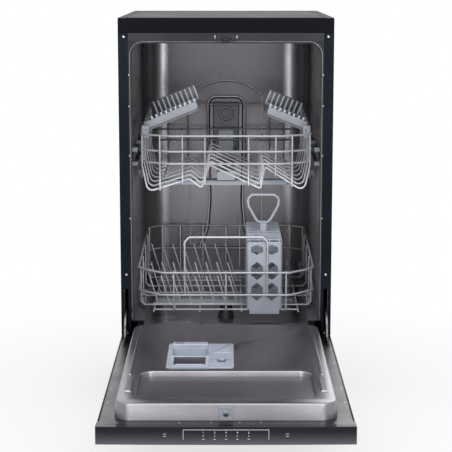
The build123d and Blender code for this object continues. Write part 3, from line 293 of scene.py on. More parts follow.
def nylonWire(name, colour):
    look = Look(name, colour, 0.30, IOR=1.5, Coat_Roughness=0.12)
    runs = look.noise(pattern["wireRuns"])
    fine = look.noise(pattern["wireSkin"], 2.0)
    darker = tuple(c * 0.84 for c in colour)
    look.feed("Base Color", look.blendColour(look.span(runs, 0.0, 1.0), darker, colour))
    look.feed("Roughness", look.span(runs, 0.24, 0.36))
    look.feed("Coat Weight", look.span(runs, 0.3, 0.5))
    return look.bump(fine, 0.05, pattern["wireDepth"])


def panelFascia(name):
    look = Look(name, finish["panelTop"], 0.30, Specular_IOR_Level=0.10)
    low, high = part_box("control_panel")
    fade = look.span(look.axis("Z"), 1.0, 0.0, low.z, high.z - zones["fasciaEdge"]) ** 1.6
    grain = look.noise(pattern["fasciaSkin"], 2.0)
    toneMask = fade + look.span(grain, 0.0, 0.03)
    look.feed("Base Color", look.blendColour(toneMask, finish["panelTop"], finish["panelFoot"]))
    look.feed("Roughness", look.span(grain, 0.22, 0.28))
    return look.bump(grain, 0.05, pattern["fasciaDepth"])


def worktopRim(name):
    look = Look(name, finish["trimDark"], 0.42, Specular_IOR_Level=0.05)
    grain = look.noise(pattern["trimSkin"])
    low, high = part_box("worktop_frame")
    # Painted reflection: the tops of the frame's two side ends are lightened for the light they reflect
    aside = look.axis("X").math("ABSOLUTE").math("GREATER_THAN", high.x - zones["trimWidth"])
    onTop = look.axis("Z").math("GREATER_THAN", high.z - zones["trimTop"])
    toneMask = aside * onTop * look.span(grain, 0.9, 1.0)
    look.feed("Base Color", look.blendColour(toneMask, finish["trimDark"], finish["trimReflectionGrey"]))
    look.feed("Roughness", look.span(grain, 0.32, 0.42) + onTop * 0.4)
    return look.bump(grain, 0.12, pattern["trimDepth"])


def gasketRubber(name):
    look = Look(name, finish["rubber"], 0.62)
    skin = look.noise(pattern["rubberSkin"], 4.0)
    bloom = look.noise(pattern["rubberBloom"], 4.0)
    bloomed = look.span(bloom, 0.0, 1.0, 0.45, 0.8)
    look.feed("Base Color", look.blendColour(bloomed, finish["rubber"], finish["rubberBloom"]))
    look.feed("Roughness", look.span(skin, 0.55, 0.72))
    return look.bump(skin, 0.3, pattern["rubberDepth"])


# A steel's three numbers in brackets stretch its grain along the axes
looks = {
    "paint": paintedSheet("paintedSidePanel", finish["paintDark"]),
    "doorPaint": paintedSheet("paintedDoorSkin", finish["doorDark"], 0.30),
    "worktop": paintedSheet("worktopSheet", finish["worktopGrey"], 0.6, 0.04),
    "trim": worktopRim("worktopRim"),
    # The tub's steel has painted light on its lower wall, painted highlights in its back corners and painted
    # shade on its flange
    "tub": brushedSteel("tubSteel", finish["steel"], 0.30, (1, 1, 0.05), 0.04, 0.78,
                        corner=True, flange=True),
    # The door's steel is a lighter copy of the tub's steel, painted light, with painted shade below the rim
    "doorSteel": brushedSteel("innerDoorLitSteel", finish["doorSteel"], 0.34, (0.05, 1, 1), 0.04, rim=True),
    "bare": brushedSteel("bareSteel", finish["bareSteel"], 0.28, (1, 0.06, 1)),
    "rail": brushedSteel("crossRailSteel", finish["railSteel"], 0.34, (0.05, 1, 1)),
    "screw": brushedSteel("screwSteel", finish["screw"], 0.22, (1, 1, 1)),
    # A bright steel for painted highlights along the pressed edges
    "pressedHighlight": brushedSteel("pressedEdgeHighlight", finish["pressedHighlight"], 0.5, (1, 1, 1), 0.06, 0.5),
    "zinc": brushedSteel("zincSheet", finish["zinc"], 0.45, (1, 1, 1), 0.1),
    "port": mouldedPlastic("dockPortMoulding", finish["portPlastic"], 0.34),
    # A lighter copy of the shelf plastic for the teeth, painted light
    "litTeeth": mouldedPlastic("litToothMoulding", finish["litToothPlastic"], 0.34),
    "print": mouldedPlastic("panelPrint", finish["print"], 0.5, 0.0005),
    "plastic": mouldedPlastic("greyMoulding", finish["plastic"], 0.40),
    "plasticCool": mouldedPlastic("dispenserMoulding", finish["plasticCool"], 0.36),
    "plasticPale": mouldedPlastic("paleMoulding", finish["plasticPale"], 0.38),
    "white": mouldedPlastic("whiteMoulding", finish["white"], 0.42),
    "dark": mouldedPlastic("darkMoulding", finish["darkPlastic"], 0.5, 0.0009, 0.2, 0.16),
    "button": mouldedPlastic("buttonMoulding", finish["button"], 0.3),
    "fascia": panelFascia("controlFascia"),
    "wire": nylonWire("coatedWire", finish["wire"]),
    # A darker copy of the coated wire for the upper basket's rear, painted shade
    "wireFar": nylonWire("coatedWireShaded", finish["wireFar"]),
    "rubber": gasketRubber("doorSealRubber"),
}
print("finishes made:", len(looks))

# Which finish goes on which CAD node
wearing = {
    "worktop": ["worktop_panel"],
    "trim": ["worktop_frame"],
    "paint": ["right_side_panel", "left_side_panel", "kick_plate"],
    "doorPaint": ["door_outer_panel"],
    "tub": ["tub", "filter_plate"],
    "doorSteel": ["door_inner_panel"],
    "bare": ["hinge_arms", "balance_springs", "upper_rails"],
    "zinc": ["back_panel", "hinge_brackets"],
    "rail": ["front_cross_rail"],
    "rubber": ["tub_gasket"],
    "port": ["dock_port"],
    "plastic": ["fine_filter", "salt_cap", "rail_guides", "door_vent", "lower_spray_arm", "upper_spray_arm",
                "upper_feed_pipe", "lower_wheel_housings", "lower_front_wheels", "lower_rear_wheels",
                "cutlery_basket", "cutlery_grid", "roller_carriers", "upper_front_rollers",
                "upper_rear_rollers", "rear_ports"],
    "plasticCool": ["dispenser_body", "dispenser_lid", "dispenser_latch", "rinse_aid_cap"],
    "plasticPale": ["left_cup_shelf", "right_cup_shelf"],
    "white": ["water_softener", "inlet_valve"],
    "dark": ["sump", "circulation_pump", "drain_pump", "base_tray", "feet", "door_lock"],
    "fascia": ["control_panel"],
    "button": ["power_button", "start_button", "program_button"],
    "wire": ["lower_basket_front", "lower_basket_rear", "lower_basket_sides", "lower_basket_floor",
             "plate_tines", "upper_basket_front", "upper_basket_sides", "upper_basket_floor"],
    "wireFar": ["upper_basket_rear"],
}
lookOf = {member: lookName for lookName, members in wearing.items() for member in members}
for nodeName, lookName in lookOf.items():
    nodes[nodeName].data.materials.clear()
    nodes[nodeName].data.materials.append(looks[lookName].material)
print("CAD nodes dressed:", len(lookOf), "left:", sorted(set(nodes) - set(lookOf)))


# Makes an object of a shape, with round parts shaded as one and edges over the turn kept sharp
def pieceFrom(shape, name, lookName, turn):
    limit = math.radians(turn)
    for face in shape.faces:
        face.smooth = True
    for edge in shape.edges:
        edge.smooth = len(edge.link_faces) == 2 and edge.calc_face_angle(0.0) < limit
    mesh = bpy.data.meshes.new(name)
    shape.to_mesh(mesh)
    shape.free()
    mesh.materials.append(looks[lookName].material)
    piece = bpy.data.objects.new(name, mesh)
    bpy.context.scene.collection.objects.link(piece)
    return piece


# Softened copies of CAD nodes: edge widths in metres, turns in degrees
softEdges = {
    "wireRound": 0.5 * mm,
    "plasticEdge": 0.35 * mm,
    "sheetEdge": 0.25 * mm,
    "boardEdge": 1.2 * mm,
    "panelEdge": 0.5 * mm,
    "wireTurn": 62.0,
    "plasticTurn": 38.0,
    "bevelTurn": 50.0,
    "flatTurn": 0.8,
}


def softCopy(nodeName, edgeWidth, turn=softEdges["plasticTurn"], rings=2, before=None):
    shape = bmesh.new()
    shape.from_mesh(nodes[nodeName].data)
    bmesh.ops.remove_doubles(shape, verts=shape.verts, dist=tiny)
    bmesh.ops.dissolve_limit(shape, angle_limit=math.radians(softEdges["flatTurn"]), verts=shape.verts,
                             edges=shape.edges, use_dissolve_boundaries=False, delimit={"NORMAL"})
    if before:
        before(shape)
    piece = pieceFrom(shape, nodeName + "Soft", lookOf[nodeName], turn)
    if edgeWidth:
        rounding = piece.modifiers.new("rounding", "BEVEL")
        rounding.width = edgeWidth
        rounding.segments = rings
        rounding.limit_method = "ANGLE"
        rounding.angle_limit = math.radians(min(turn, softEdges["bevelTurn"]))
        rounding.use_clamp_overlap = False
        rounding.harden_normals = False
    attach(piece, nodes[nodeName]["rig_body"])
    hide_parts(nodeName)


# These two get new meshes further down
rebuilt = ("upper_basket_floor", "upper_basket_sides")
for nodeName in wearing["wire"] + wearing["wireFar"]:
    if nodeName not in rebuilt:
        softCopy(nodeName, softEdges["wireRound"], softEdges["wireTurn"])
smallPlastics = wearing["plastic"] + wearing["plasticCool"] + wearing["button"] + ["feet", "door_lock"]
for nodeName in smallPlastics:
    softCopy(nodeName, softEdges["plasticEdge"])
for nodeName in ("hinge_arms", "hinge_brackets", "upper_rails", "front_cross_rail", "kick_plate"):
    softCopy(nodeName, softEdges["sheetEdge"])
softCopy("worktop_frame", softEdges["boardEdge"], rings=3)
softCopy("control_panel", softEdges["panelEdge"], rings=3)
for nodeName in ("left_side_panel", "right_side_panel", "door_outer_panel", "tub_gasket"):
    softCopy(nodeName, softEdges["sheetEdge"])

# Rounded edge on top of the inner door's raised field; the dispenser's slot keeps its sharp edge.
# The turn is in radians, the rest in millimetres
boss = {"top": 208.0, "near": 0.05, "half": 196.0, "round": 2.4, "rings": 4, "turn": 0.5,
        "slotX": (-115.5, 17.0), "slotY": (-421.0, -238.0)}


def onBossTop(point):
    (x0, x1), (y0, y1) = boss["slotX"], boss["slotY"]
    inSlot = x0 < point.x < x1 and y0 < point.y < y1
    return abs(point.z - boss["top"]) < boss["near"] and abs(point.x) < boss["half"] and not inSlot


def roundBoss(shape):
    chosen = [edge for edge in shape.edges if len(edge.link_faces) == 2
              and edge.calc_face_angle(0.0) > boss["turn"]
              and all(onBossTop(corner.co / mm) for corner in edge.verts)]
    bmesh.ops.bevel(shape, geom=chosen, offset=boss["round"] * mm, offset_type="OFFSET", affect="EDGES",
                    segments=boss["rings"], profile=0.5, material=-1, clamp_overlap=False)


softCopy("door_inner_panel", 0, before=roundBoss)
print("softened copies made")


# New meshes are built from places in the cabinet's millimetres: y runs back from the front plane
def at(x, y, z):
    return Vector((x, y + frontY, z)) * mm


# A line through the corners, with each inner corner drawn as an arc of its bend
def roundedPath(corners, bends, steps=5):
    corners = [at(*corner) for corner in corners]
    radii = bends if isinstance(bends, (list, tuple)) else [bends] * (len(corners) - 2)
    path = [corners[0]]
    for before, corner, after, radius in zip(corners, corners[1:], corners[2:], radii):
        back = (before - corner).normalized()
        onward = (after - corner).normalized()
        turn = math.pi - back.angle(onward)
        reach = radius * mm * math.tan(turn / 2)
        if reach < tiny:
            path.append(corner)
            continue
        centre = corner + (back + onward).normalized() * (radius * mm / math.cos(turn / 2))
        start = corner + back * reach - centre
        axis = start.cross(corner + onward * reach - centre).normalized()
        path += [centre + Quaternion(axis, turn * i / steps) @ start for i in range(steps + 1)]
    return path + [corners[-1]]


def addRing(shape, centre, side, up, radius, sides):
    turns = [2 * math.pi * k / sides for k in range(sides)]
    return [shape.verts.new(centre + (side * math.cos(a) + up * math.sin(a)) * radius * mm) for a in turns]


def joinRings(shape, rings):
    sides = len(rings[0])
    for first, second in zip(rings, rings[1:]):
        for k in range(sides):
            after = (k + 1) % sides
            shape.faces.new((first[k], first[after], second[after], second[k]))
    shape.faces.new(list(reversed(rings[0])))
    shape.faces.new(rings[-1])


def addTube(shape, path, radius, sides=10):
    rings = []
    side = (path[1] - path[0]).orthogonal().normalized()
    for i, point in enumerate(path):
        ahead = (path[min(i + 1, len(path) - 1)] - path[max(i - 1, 0)]).normalized()
        side = (side - ahead * side.dot(ahead)).normalized()
        rings.append(addRing(shape, point, side, ahead.cross(side), radius, sides))
    joinRings(shape, rings)


# A turned body: pairs of radius and place along the axis, from one end to the other
def addTurned(shape, centre, axis, profile, sides=32):
    axis = Vector(axis).normalized()
    side = axis.orthogonal().normalized()
    up = axis.cross(side)
    joinRings(shape, [addRing(shape, centre + axis * along * mm, side, up, radius, sides)
                      for radius, along in profile])


def addBlock(shape, low, high, rounding=0.0, rings=2):
    low, high = at(*low), at(*high)
    made = bmesh.ops.create_cube(shape, size=1.0)["verts"]
    for corner in made:
        corner.co = Vector((high[i] if corner.co[i] > 0 else low[i]) for i in range(3))
    if rounding:
        edges = list({edge for corner in made for edge in corner.link_edges})
        bmesh.ops.bevel(shape, geom=edges, offset=rounding * mm, offset_type="OFFSET", affect="EDGES",
                        segments=rings, profile=0.5, material=-1, clamp_overlap=True)


# A new piece moves with its node's body, and may stand in that node's place
def makePiece(shape, name, lookName, nodeName, replacing=False, turn=40.0):
    bmesh.ops.recalc_face_normals(shape, faces=shape.faces)
    piece = pieceFrom(shape, name, lookName, turn)
    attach(piece, nodes[nodeName]["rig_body"])
    if replacing:
        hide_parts(nodeName)


# Upper basket's wave wires and side uprights, with their bends drawn round
upper = {
    "half": 183.7, "front": 40.0, "rear": 485.0, "rail": 2.3, "wire": 1.9, "sink": 0.05, "sides": 10,
    "railFront": (86.0, 600.0), "railRear": (457.0, 628.0), "railGap": 0.2, "middle": 567.0, "low": 541.0,
    "waves": 7, "firstWave": 16.0, "lastWave": 34.0, "waveBends": (12, 3, 5, 5, 3, 3, 12), "turn": 50.0,
    "wave": ((-78, 507), (-52, 486), (-36, 537), (74, 486), (83, 533)), "waveSide": (4.6, 479.0),
    "footInset": 7.55, "footZ": 500.0, "legTop": 3.0, "legLow": 5.0, "legBend": 7.0,
    "posts": (-141.0, -93.0, -45.0, 48.0, 106.0, 141.0), "postGap": 9.0,
}
weld = upper["rail"] + upper["wire"] - upper["sink"]
foot = upper["half"] - weld - upper["footInset"]
inward, dip = upper["waveSide"]
wave = [(-foot, upper["footZ"]), (-foot + inward, dip), *upper["wave"],
        (foot - inward, dip), (foot, upper["footZ"])]


def upperRail(y):
    (y0, z0), (y1, z1) = upper["railFront"], upper["railRear"]
    return z0 + (z1 - z0) * (y - y0) / (y1 - y0)


def underWave(x):
    for a, b in zip(wave, wave[1:]):
        if a[0] <= x <= b[0]:
            slope = (b[1] - a[1]) / (b[0] - a[0])
            drop = (2 * upper["wire"] - upper["sink"]) * math.sqrt(1 + slope * slope)
            return a[1] + slope * (x - a[0]) - drop


firstWave, lastWave = upper["front"] + upper["firstWave"], upper["rear"] - upper["lastWave"]
waveYs = [firstWave + (lastWave - firstWave) * i / (upper["waves"] - 1) for i in range(upper["waves"])]
shape = bmesh.new()
for y in waveYs:
    corners = [(x, y, z) for x, z in wave]
    addTube(shape, roundedPath(corners, upper["waveBends"]), upper["wire"], upper["sides"])
for x in upper["posts"]:
    ends = [at(x, upper["front"] + weld + upper["postGap"], underWave(x)),
            at(x, upper["rear"] - weld - upper["postGap"], underWave(x))]
    addTube(shape, ends, upper["wire"], upper["sides"])
makePiece(shape, "upperFloorWires", "wire", "upper_basket_floor", True, upper["turn"])

shape = bmesh.new()
start, end = upper["railFront"][0] + upper["railGap"], upper["railRear"][0] - upper["railGap"]
for side in (-1, 1):
    half = side * upper["half"]
    for z0, z1 in ((upperRail(start), upperRail(end)), (upper["middle"],) * 2, (upper["low"],) * 2):
        addTube(shape, [at(half, start, z0), at(half, end, z1)], upper["rail"], upper["sides"])
    leg = side * (upper["half"] - weld)
    for y in waveYs:
        corners = [(leg, y, upperRail(y) + upper["legTop"]), (leg, y, upper["low"] - upper["legLow"]),
                   (side * foot, y, upper["footZ"])]
        addTube(shape, roundedPath(corners, upper["legBend"]), upper["wire"], upper["sides"])
makePiece(shape, "upperSideWires", "wire", "upper_basket_sides", True, upper["turn"])
print("upper basket wires made")

# Cup shelves: drawn flat about their pins, then tilted; slats, low walls and two rows of teeth, the teeth in
# a lighter copy of the plastic as painted light, with a dark plate behind the rear comb as painted shade
shelves = {
    "length": 196.0, "tilt": 22.0, "pin": (172.0, 92.0, 608.0), "left": 122.0, "right": 92.0,
    "inner": 2.0, "spine": 10.0, "board": 1.25, "edge": 0.4, "frontBar": 12.0, "rearBar": 14.0,
    "slatFirst": 17.5, "slatStep": 12.0, "slat": 4.5, "slatFront": 10.0, "slatRear": 12.0, "spare": 14.0,
    "wall": 2.5, "wallFoot": -3.0, "wallTop": 17.0, "endTop": 6.0,
    "rearFrom": 12.0, "rearFoot": -1.0, "rearTop": 10.0,
    "teethStep": 11.0, "tooth": 3.4, "teethFoot": 8.0, "combTop": 38.0, "frontRise": 6.0,
    "comb": (-2.3, -0.2), "frontTeeth": (2.0, 5.0), "backing": (-0.6, 0.4), "shadeBackingRise": 1.5,
    "barrel": 4.0, "axle": 2.5, "axleOut": 8.0,
}


def cupShelf(nodeName, width, side):
    shape, teeth, backing = bmesh.new(), bmesh.new(), bmesh.new()
    length, inner, board, edge = (shelves[key] for key in ("length", "inner", "board", "edge"))
    wall, wallFoot, rearFrom, out = (shelves[key] for key in ("wall", "wallFoot", "rearFrom", "axleOut"))
    addBlock(shape, (inner, 0, -board), (shelves["spine"], length, board), edge)
    slots = int((width - shelves["spare"]) // shelves["slatStep"])
    slatEnd = length - shelves["slatRear"]
    for i in range(slots):
        x = shelves["slatFirst"] + shelves["slatStep"] * i
        last = width if i == slots - 1 else x + shelves["slat"]
        addBlock(shape, (x, shelves["slatFront"], -board), (last, slatEnd, board), edge)
    for y0, y1 in ((0, shelves["frontBar"]), (length - shelves["rearBar"], length)):
        addBlock(shape, (inner, y0, -board), (width, y1, board), edge)
    addBlock(shape, (rearFrom, length - wall, shelves["rearFoot"]), (width, length, shelves["rearTop"]), 0.5)
    addBlock(shape, (inner, 0, wallFoot), (width, wall, shelves["wallTop"]), 0.7, 3)
    addBlock(shape, (width - wall, 0, wallFoot), (width, length, shelves["endTop"]), 0.6)
    addTube(shape, [at(0, 0, 0), at(0, length, 0)], shelves["barrel"], 20)
    addTube(shape, [at(0, -out, 0), at(0, length + out, 0)], shelves["axle"], 16)
    rear = [length + gap for gap in shelves["comb"]]
    rows = ((*rear, shelves["combTop"]), (*shelves["frontTeeth"], shelves["wallTop"] + shelves["frontRise"]))
    for i in range(int((width - shelves["spare"]) // shelves["teethStep"]) + 1):
        x = width - shelves["tooth"] - shelves["teethStep"] * i
        for y0, y1, top in rows:
            addBlock(teeth, (x, y0, shelves["teethFoot"]), (x + shelves["tooth"], y1, top), 0.5)
    # Painted shade: a dark plate behind the rear comb, so the gaps between its teeth read dark
    y0, y1 = (length + gap for gap in shelves["backing"])
    top = shelves["combTop"] + shelves["shadeBackingRise"]
    addBlock(backing, (rearFrom, y0, shelves["teethFoot"]), (width, y1, top), 0.3)
    x, y, z = shelves["pin"]
    facing = Matrix.Diagonal((-side, 1, 1, 1))
    tilted = Matrix.Rotation(math.radians(side * shelves["tilt"]), 4, "Y")
    moved = Matrix.Translation(at(side * x, y, z)) @ tilted @ facing @ Matrix.Translation(-at(0, 0, 0))
    for target in (shape, teeth, backing):
        bmesh.ops.transform(target, matrix=moved, verts=target.verts)
    makePiece(shape, nodeName + "Slats", "plasticPale", nodeName, True)
    # Teeth in the lighter copy of the plastic are painted light; the dark plate behind the comb is painted
    # shade
    makePiece(teeth, nodeName + "Teeth", "litTeeth", nodeName)
    makePiece(backing, nodeName + "ShadeBacking", "port", nodeName)


cupShelf("left_cup_shelf", shelves["left"], -1)
cupShelf("right_cup_shelf", shelves["right"], 1)
print("cup shelves made")

# Docking port: plate, round cap with its rings, the nose with its mouth, and hooks beside them
port = {
    "back": 505.0, "front": 498.0, "plate": 5.0, "plateHalf": 32.0, "low": 513.0, "top": 632.0,
    "capZ": 605.0, "capSink": 4.5, "capRadius": 24.0, "capRim": 9.4, "bead": 0.8,
    "capProfile": ((0, 0), (0, 3.5), (-1.5, 5), (-5, 5), (-6, 3), (-13, 3), (-14, 5.4), (-21, 6.2)),
    "mouthHalf": 20.0, "mouthLow": 512.0, "mouthTop": 568.0, "mouthRear": 4.0, "noseProud": 0.2,
    "hook": ((13, -6, 596), (17, -10, 588), (14, -10, 578)), "hookBend": 4, "hookWire": 1.3,
    "ear": ((16, -1, 520), (22, -1, 530), (21, -1, 548)), "earBend": 5, "earWire": 1.4,
}
back, front, wide, mouth = (port[key] for key in ("back", "front", "plateHalf", "mouthHalf"))
nose = port["mouthTop"] - mouth
shape = bmesh.new()
addBlock(shape, (-wide, back - port["plate"], port["low"]), (wide, back, port["top"]), 4.0, 4)
addTurned(shape, at(0, back - port["capSink"], port["capZ"]), (0, -1, 0),
          [(port["capRadius"] + less, along) for less, along in port["capProfile"]])
addTurned(shape, at(0, front, nose), (0, 1, 0), [(mouth, -port["noseProud"]), (mouth, 6)])
addBlock(shape, (-mouth, front, port["mouthLow"]), (mouth, back - port["mouthRear"], nose), 2.5, 3)
makePiece(shape, "dockPortBody", "port", "dock_port", True)
shape = bmesh.new()
turns = [2 * math.pi * i / 32 for i in range(33)]
rim = port["capRadius"] - 1
capRim = [at(rim * math.sin(a), back - port["capRim"], port["capZ"] + rim * math.cos(a)) for a in turns]
noseRim = [at(mouth * math.cos(a / 2), front - port["noseProud"], nose + mouth * math.sin(a / 2))
           for a in turns]
for line in (capRim, noseRim):
    addTube(shape, line, port["bead"], 8)
for side in (-1, 1):
    hook = [(side * x, back + y, z) for x, y, z in port["hook"]]
    addTube(shape, roundedPath(hook, port["hookBend"]), port["hookWire"])
    ear = [(side * x, front + y, z) for x, y, z in port["ear"]]
    addTube(shape, roundedPath(ear, port["earBend"]), port["earWire"])
makePiece(shape, "dockPortHooks", "plastic", "dock_port")
print("docking port made")

# Screw heads: the node they sit on, then place, direction and radius of each
screwHead = ((1.0, -0.2), (1.0, 0.15), (0.82, 0.38), (0.4, 0.45))  # share of the radius, height
ahead, upward, big, small = (0, -1, 0), (0, 0, 1), 2.4, 1.7
screwPlaces = {
    "cabinetScrews": ("tub", [((side * 212, 0, z), ahead, big) for side in (-1, 1) for z in (811, 308)]
                      + [((side * 203, 1, z), ahead, small)
                         for side in (-1, 1) for z in (732, 667, 563, 429)]),
    "doorScrews": ("door_inner_panel",
                   [((side * 214, -y, 178), upward, big) for side in (-1, 1) for y in (495, 410, 226)]
                   + [((x, -612, 178), upward, big) for x in (-188, -80, -26, 23, 60, 188)]),
}
for name, (nodeName, places) in screwPlaces.items():
    shape = bmesh.new()
    for place, facing, radius in places:
        addTurned(shape, at(*place), facing, [(radius * share, height) for share, height in screwHead], 16)
    makePiece(shape, name, "screw", nodeName)

# Door striker: a bent bow over the tongue, two small brackets and the dark holes beside them
striker = {
    "bow": ((-7.4, -0.5, 806), (-7.4, -7, 806), (0, -11.4, 806), (7.4, -7, 806), (7.4, -0.5, 806)),
    "bowBend": 4, "bowWire": 0.9, "bracketX": 22, "bracketHalf": 1.3, "bracketY": (-0.45, 0.2),
    "bracketZ": (807, 814), "holeX": 15, "holeZ": 810.5, "holeY": -0.5, "hole": ((3.2, 0), (3.2, 0.3)),
}
shape = bmesh.new()
holes = bmesh.new()
addTube(shape, roundedPath(striker["bow"], striker["bowBend"]), striker["bowWire"])
for side in (-1, 1):
    x, half = side * striker["bracketX"], striker["bracketHalf"]
    (y0, y1), (z0, z1) = striker["bracketY"], striker["bracketZ"]
    addBlock(shape, (x - half, y0, z0), (x + half, y1, z1), 0.15)
    holeAt = at(side * striker["holeX"], striker["holeY"], striker["holeZ"])
    addTurned(holes, holeAt, ahead, striker["hole"], 20)
makePiece(shape, "strikerBow", "screw", "front_cross_rail")
makePiece(holes, "strikerHoles", "rubber", "front_cross_rail")

# Seal lip round the tub's opening, with a thin bright line beside it, a painted highlight on the tub's edge
sealLines = {
    "foot": 210, "steps": 10, "sides": 8,
    "sealLip": {"look": "rubber", "half": 198.2, "top": 799.2, "y": 1.7, "bend": 28, "thick": 1.7},
    # Painted highlight: a thin bright line along the tub's edge
    "tubEdgeHighlight": {"look": "screw", "half": 200.4, "top": 801.4, "y": 0.8, "bend": 29, "thick": 0.55},
}
for name in ("sealLip", "tubEdgeHighlight"):
    facts = sealLines[name]
    x, y, low, top = facts["half"], facts["y"], sealLines["foot"], facts["top"]
    lip = [(-x, y, low), (-x, y, top), (x, y, top), (x, y, low)]
    shape = bmesh.new()
    addTube(shape, roundedPath(lip, facts["bend"], sealLines["steps"]), facts["thick"], sealLines["sides"])
    makePiece(shape, name, facts["look"], "tub_gasket")
print("screws, striker and seal lip made")

# Printing on the panel's end: a bracket line, numbers and small marks, drawn as thin plates.
# The line: how many marks, its reach to each side, then a mark's height above the floor, width and height
panelEnd = {
    "reach": 636.5, "bow": 2.5, "half": 224.0, "proud": 0.12, "sunk": 0.5,
    "line": (24, 70.5, 173.0, 6.3, 0.7), "columns": (-38.9, -19.4, 0.2, 19.4, 38.9),
    "numberZ": 168, "numberSize": 5.0 * mm, "numberDepth": 0.15 * mm,
}
# Each group: its columns, then height above the floor, width and height of every mark in a column
panelGroups = (
    ((-73.3, 73.3), ((164.5, 0.7, 17.6),)),
    (panelEnd["columns"], ((162.2, 1.4, 1.4), (156.5, 4.0, 0.8))),
    ((-105.0, 105.0), ((165.5, 5.0, 0.7), (161.5, 5.0, 0.7))),
)


def onPanelEnd(x):
    return -panelEnd["reach"] + panelEnd["bow"] * (x / panelEnd["half"]) ** 2


def addMark(shape, x, z, width, height):
    y = onPanelEnd(x)
    addBlock(shape, (x - width / 2, y - panelEnd["proud"], z - height / 2),
             (x + width / 2, y + panelEnd["sunk"], z + height / 2))


shape = bmesh.new()
count, reach, z, width, height = panelEnd["line"]
for i in range(count):
    addMark(shape, -reach + 2 * reach * i / (count - 1), z, width, height)
for columns, marks in panelGroups:
    for x in columns:
        for z, width, height in marks:
            addMark(shape, x, z, width, height)
makePiece(shape, "panelMarks", "print", "control_panel")
for number, x in enumerate(panelEnd["columns"], start=1):
    words = bpy.data.curves.new("panelNumber", "FONT")
    words.body = str(number)
    words.size = panelEnd["numberSize"]
    words.extrude = panelEnd["numberDepth"]
    words.align_x = "CENTER"
    words.align_y = "CENTER"
    holder = bpy.data.objects.new("panelNumber", words)
    mesh = bpy.data.meshes.new_from_object(holder)
    bpy.data.objects.remove(holder)
    for corner in mesh.vertices:
        flatX, flatY, depth = corner.co
        corner.co = at(x, onPanelEnd(x), panelEnd["numberZ"]) + Vector((flatX, -depth, flatY))
    mesh.materials.append(looks["print"].material)
    piece = bpy.data.objects.new("panelNumber" + str(number), mesh)
    bpy.context.scene.collection.objects.link(piece)
    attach(piece, nodes["control_panel"]["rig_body"])
print("panel printing made")

# Dark edge of the door's outer sheet beside the rim
edgeTrim = {"x": 221.3, "half": 1.5, "y": (-602.5, -4), "z": (176.6, 178.9)}
shape = bmesh.new()
for side in (-1, 1):
    x, half = side * edgeTrim["x"], edgeTrim["half"]
    (y0, y1), (z0, z1) = edgeTrim["y"], edgeTrim["z"]
    addBlock(shape, (x - half, y0, z0), (x + half, y1, z1), 0.5)
makePiece(shape, "doorEdgeTrim", "doorPaint", "door_outer_panel")

# Rounded lines along the pressed forms on the tub's back wall, the duct and the arch above it: bright steel
# as painted highlights, and a dark line under the arch as painted shade
duct = {
    "y": 506.2, "radius": 2.0, "steps": 8, "bends": (60, 200, 30, 20, 20, 30, 200, 60),
    "side": ((67.0, 268.0), (46.5, 318.0), (40.5, 387.0), (44.0, 520.0), (44.0, 645.0)),
}
arch = {"y": 517.2, "half": 88.5, "low": 276.0, "side": 647.0, "top": 683.0, "steps": 20, "radius": 1.3,
        "shade": (0, -0.3 * mm, -2.2 * mm), "sides": 8, "turn": 60.0}
outline = list(duct["side"]) + [(-x, z) for x, z in reversed(duct["side"])]
corners = [(x, duct["y"], z) for x, z in outline]
rise = arch["top"] - arch["side"]
bowRadius = (arch["half"] ** 2 + rise ** 2) / (2 * rise)
sweep = math.asin(arch["half"] / bowRadius)
turns = [sweep * (2 * i / arch["steps"] - 1) for i in range(arch["steps"] + 1)]
crown = [at(bowRadius * math.sin(a), arch["y"], arch["top"] - bowRadius + bowRadius * math.cos(a))
         for a in turns]
feet = [at(side * arch["half"], arch["y"], arch["low"]) for side in (-1, 1)]
shape = bmesh.new()
addTube(shape, roundedPath(corners, duct["bends"], duct["steps"]), duct["radius"], arch["sides"])
addTube(shape, [feet[0], *crown, feet[1]], arch["radius"], arch["sides"])
makePiece(shape, "pressedHighlightLines", "pressedHighlight", "tub", turn=arch["turn"])
# Painted shade: a dark line just under the arch
shape = bmesh.new()
addTube(shape, [point + Vector(arch["shade"]) for point in crown], arch["radius"], arch["sides"])
makePiece(shape, "pressedShade", "port", "tub", turn=arch["turn"])
print("pressed lines made")

# Dispenser: two raised fields with a square mark and a slanted slot, the lid's ribs and trough, and
# the latch's lip
dispenser = {
    "blocks": (((-106, -222, 209.2), (-36, -201, 214.2), 1.6),
               ((-27, -272, 209.2), (11, -206, 211.4), 1.4)),
    "markZ": 214.3, "square": ((-99, -219), (-84, -219), (-84, -204), (-99, -204), (-99, -218)),
    "squareWire": 0.5, "squareBend": 1.0, "slash": ((-95, -215), (-88, -208)),
    "slot": ((-24, -268, 211.5), (8, -214, 211.5)), "slotWire": 0.45,
    "ribX": (-95, -44), "ribZ": 212.2, "ribs": ((-364.5, 1.4), (-306.5, 1.2)),
    "trough": ((-100, -361, 211.8), (-39, -311, 212.4)),
    "lip": ((-15.5, -322, 210.9), (-15.5, -334, 210.9), (-1.5, -334, 210.9), (-1.5, -322, 210.9)),
    "lipBend": 4, "lipWire": 1.2,
}
shape = bmesh.new()
for low, high, rounding in dispenser["blocks"]:
    addBlock(shape, low, high, rounding, 3)
makePiece(shape, "dispenserRaised", "plasticCool", "dispenser_body")
shape = bmesh.new()
square, slash = ([(x, y, dispenser["markZ"]) for x, y in dispenser[key]] for key in ("square", "slash"))
addTube(shape, roundedPath(square, dispenser["squareBend"], 2), dispenser["squareWire"], 8)
addTube(shape, [at(*end) for end in dispenser["slot"]], dispenser["slotWire"], 8)
addTube(shape, [at(*end) for end in slash], dispenser["squareWire"], 8)
makePiece(shape, "dispenserMarks", "dark", "dispenser_body")
shape = bmesh.new()
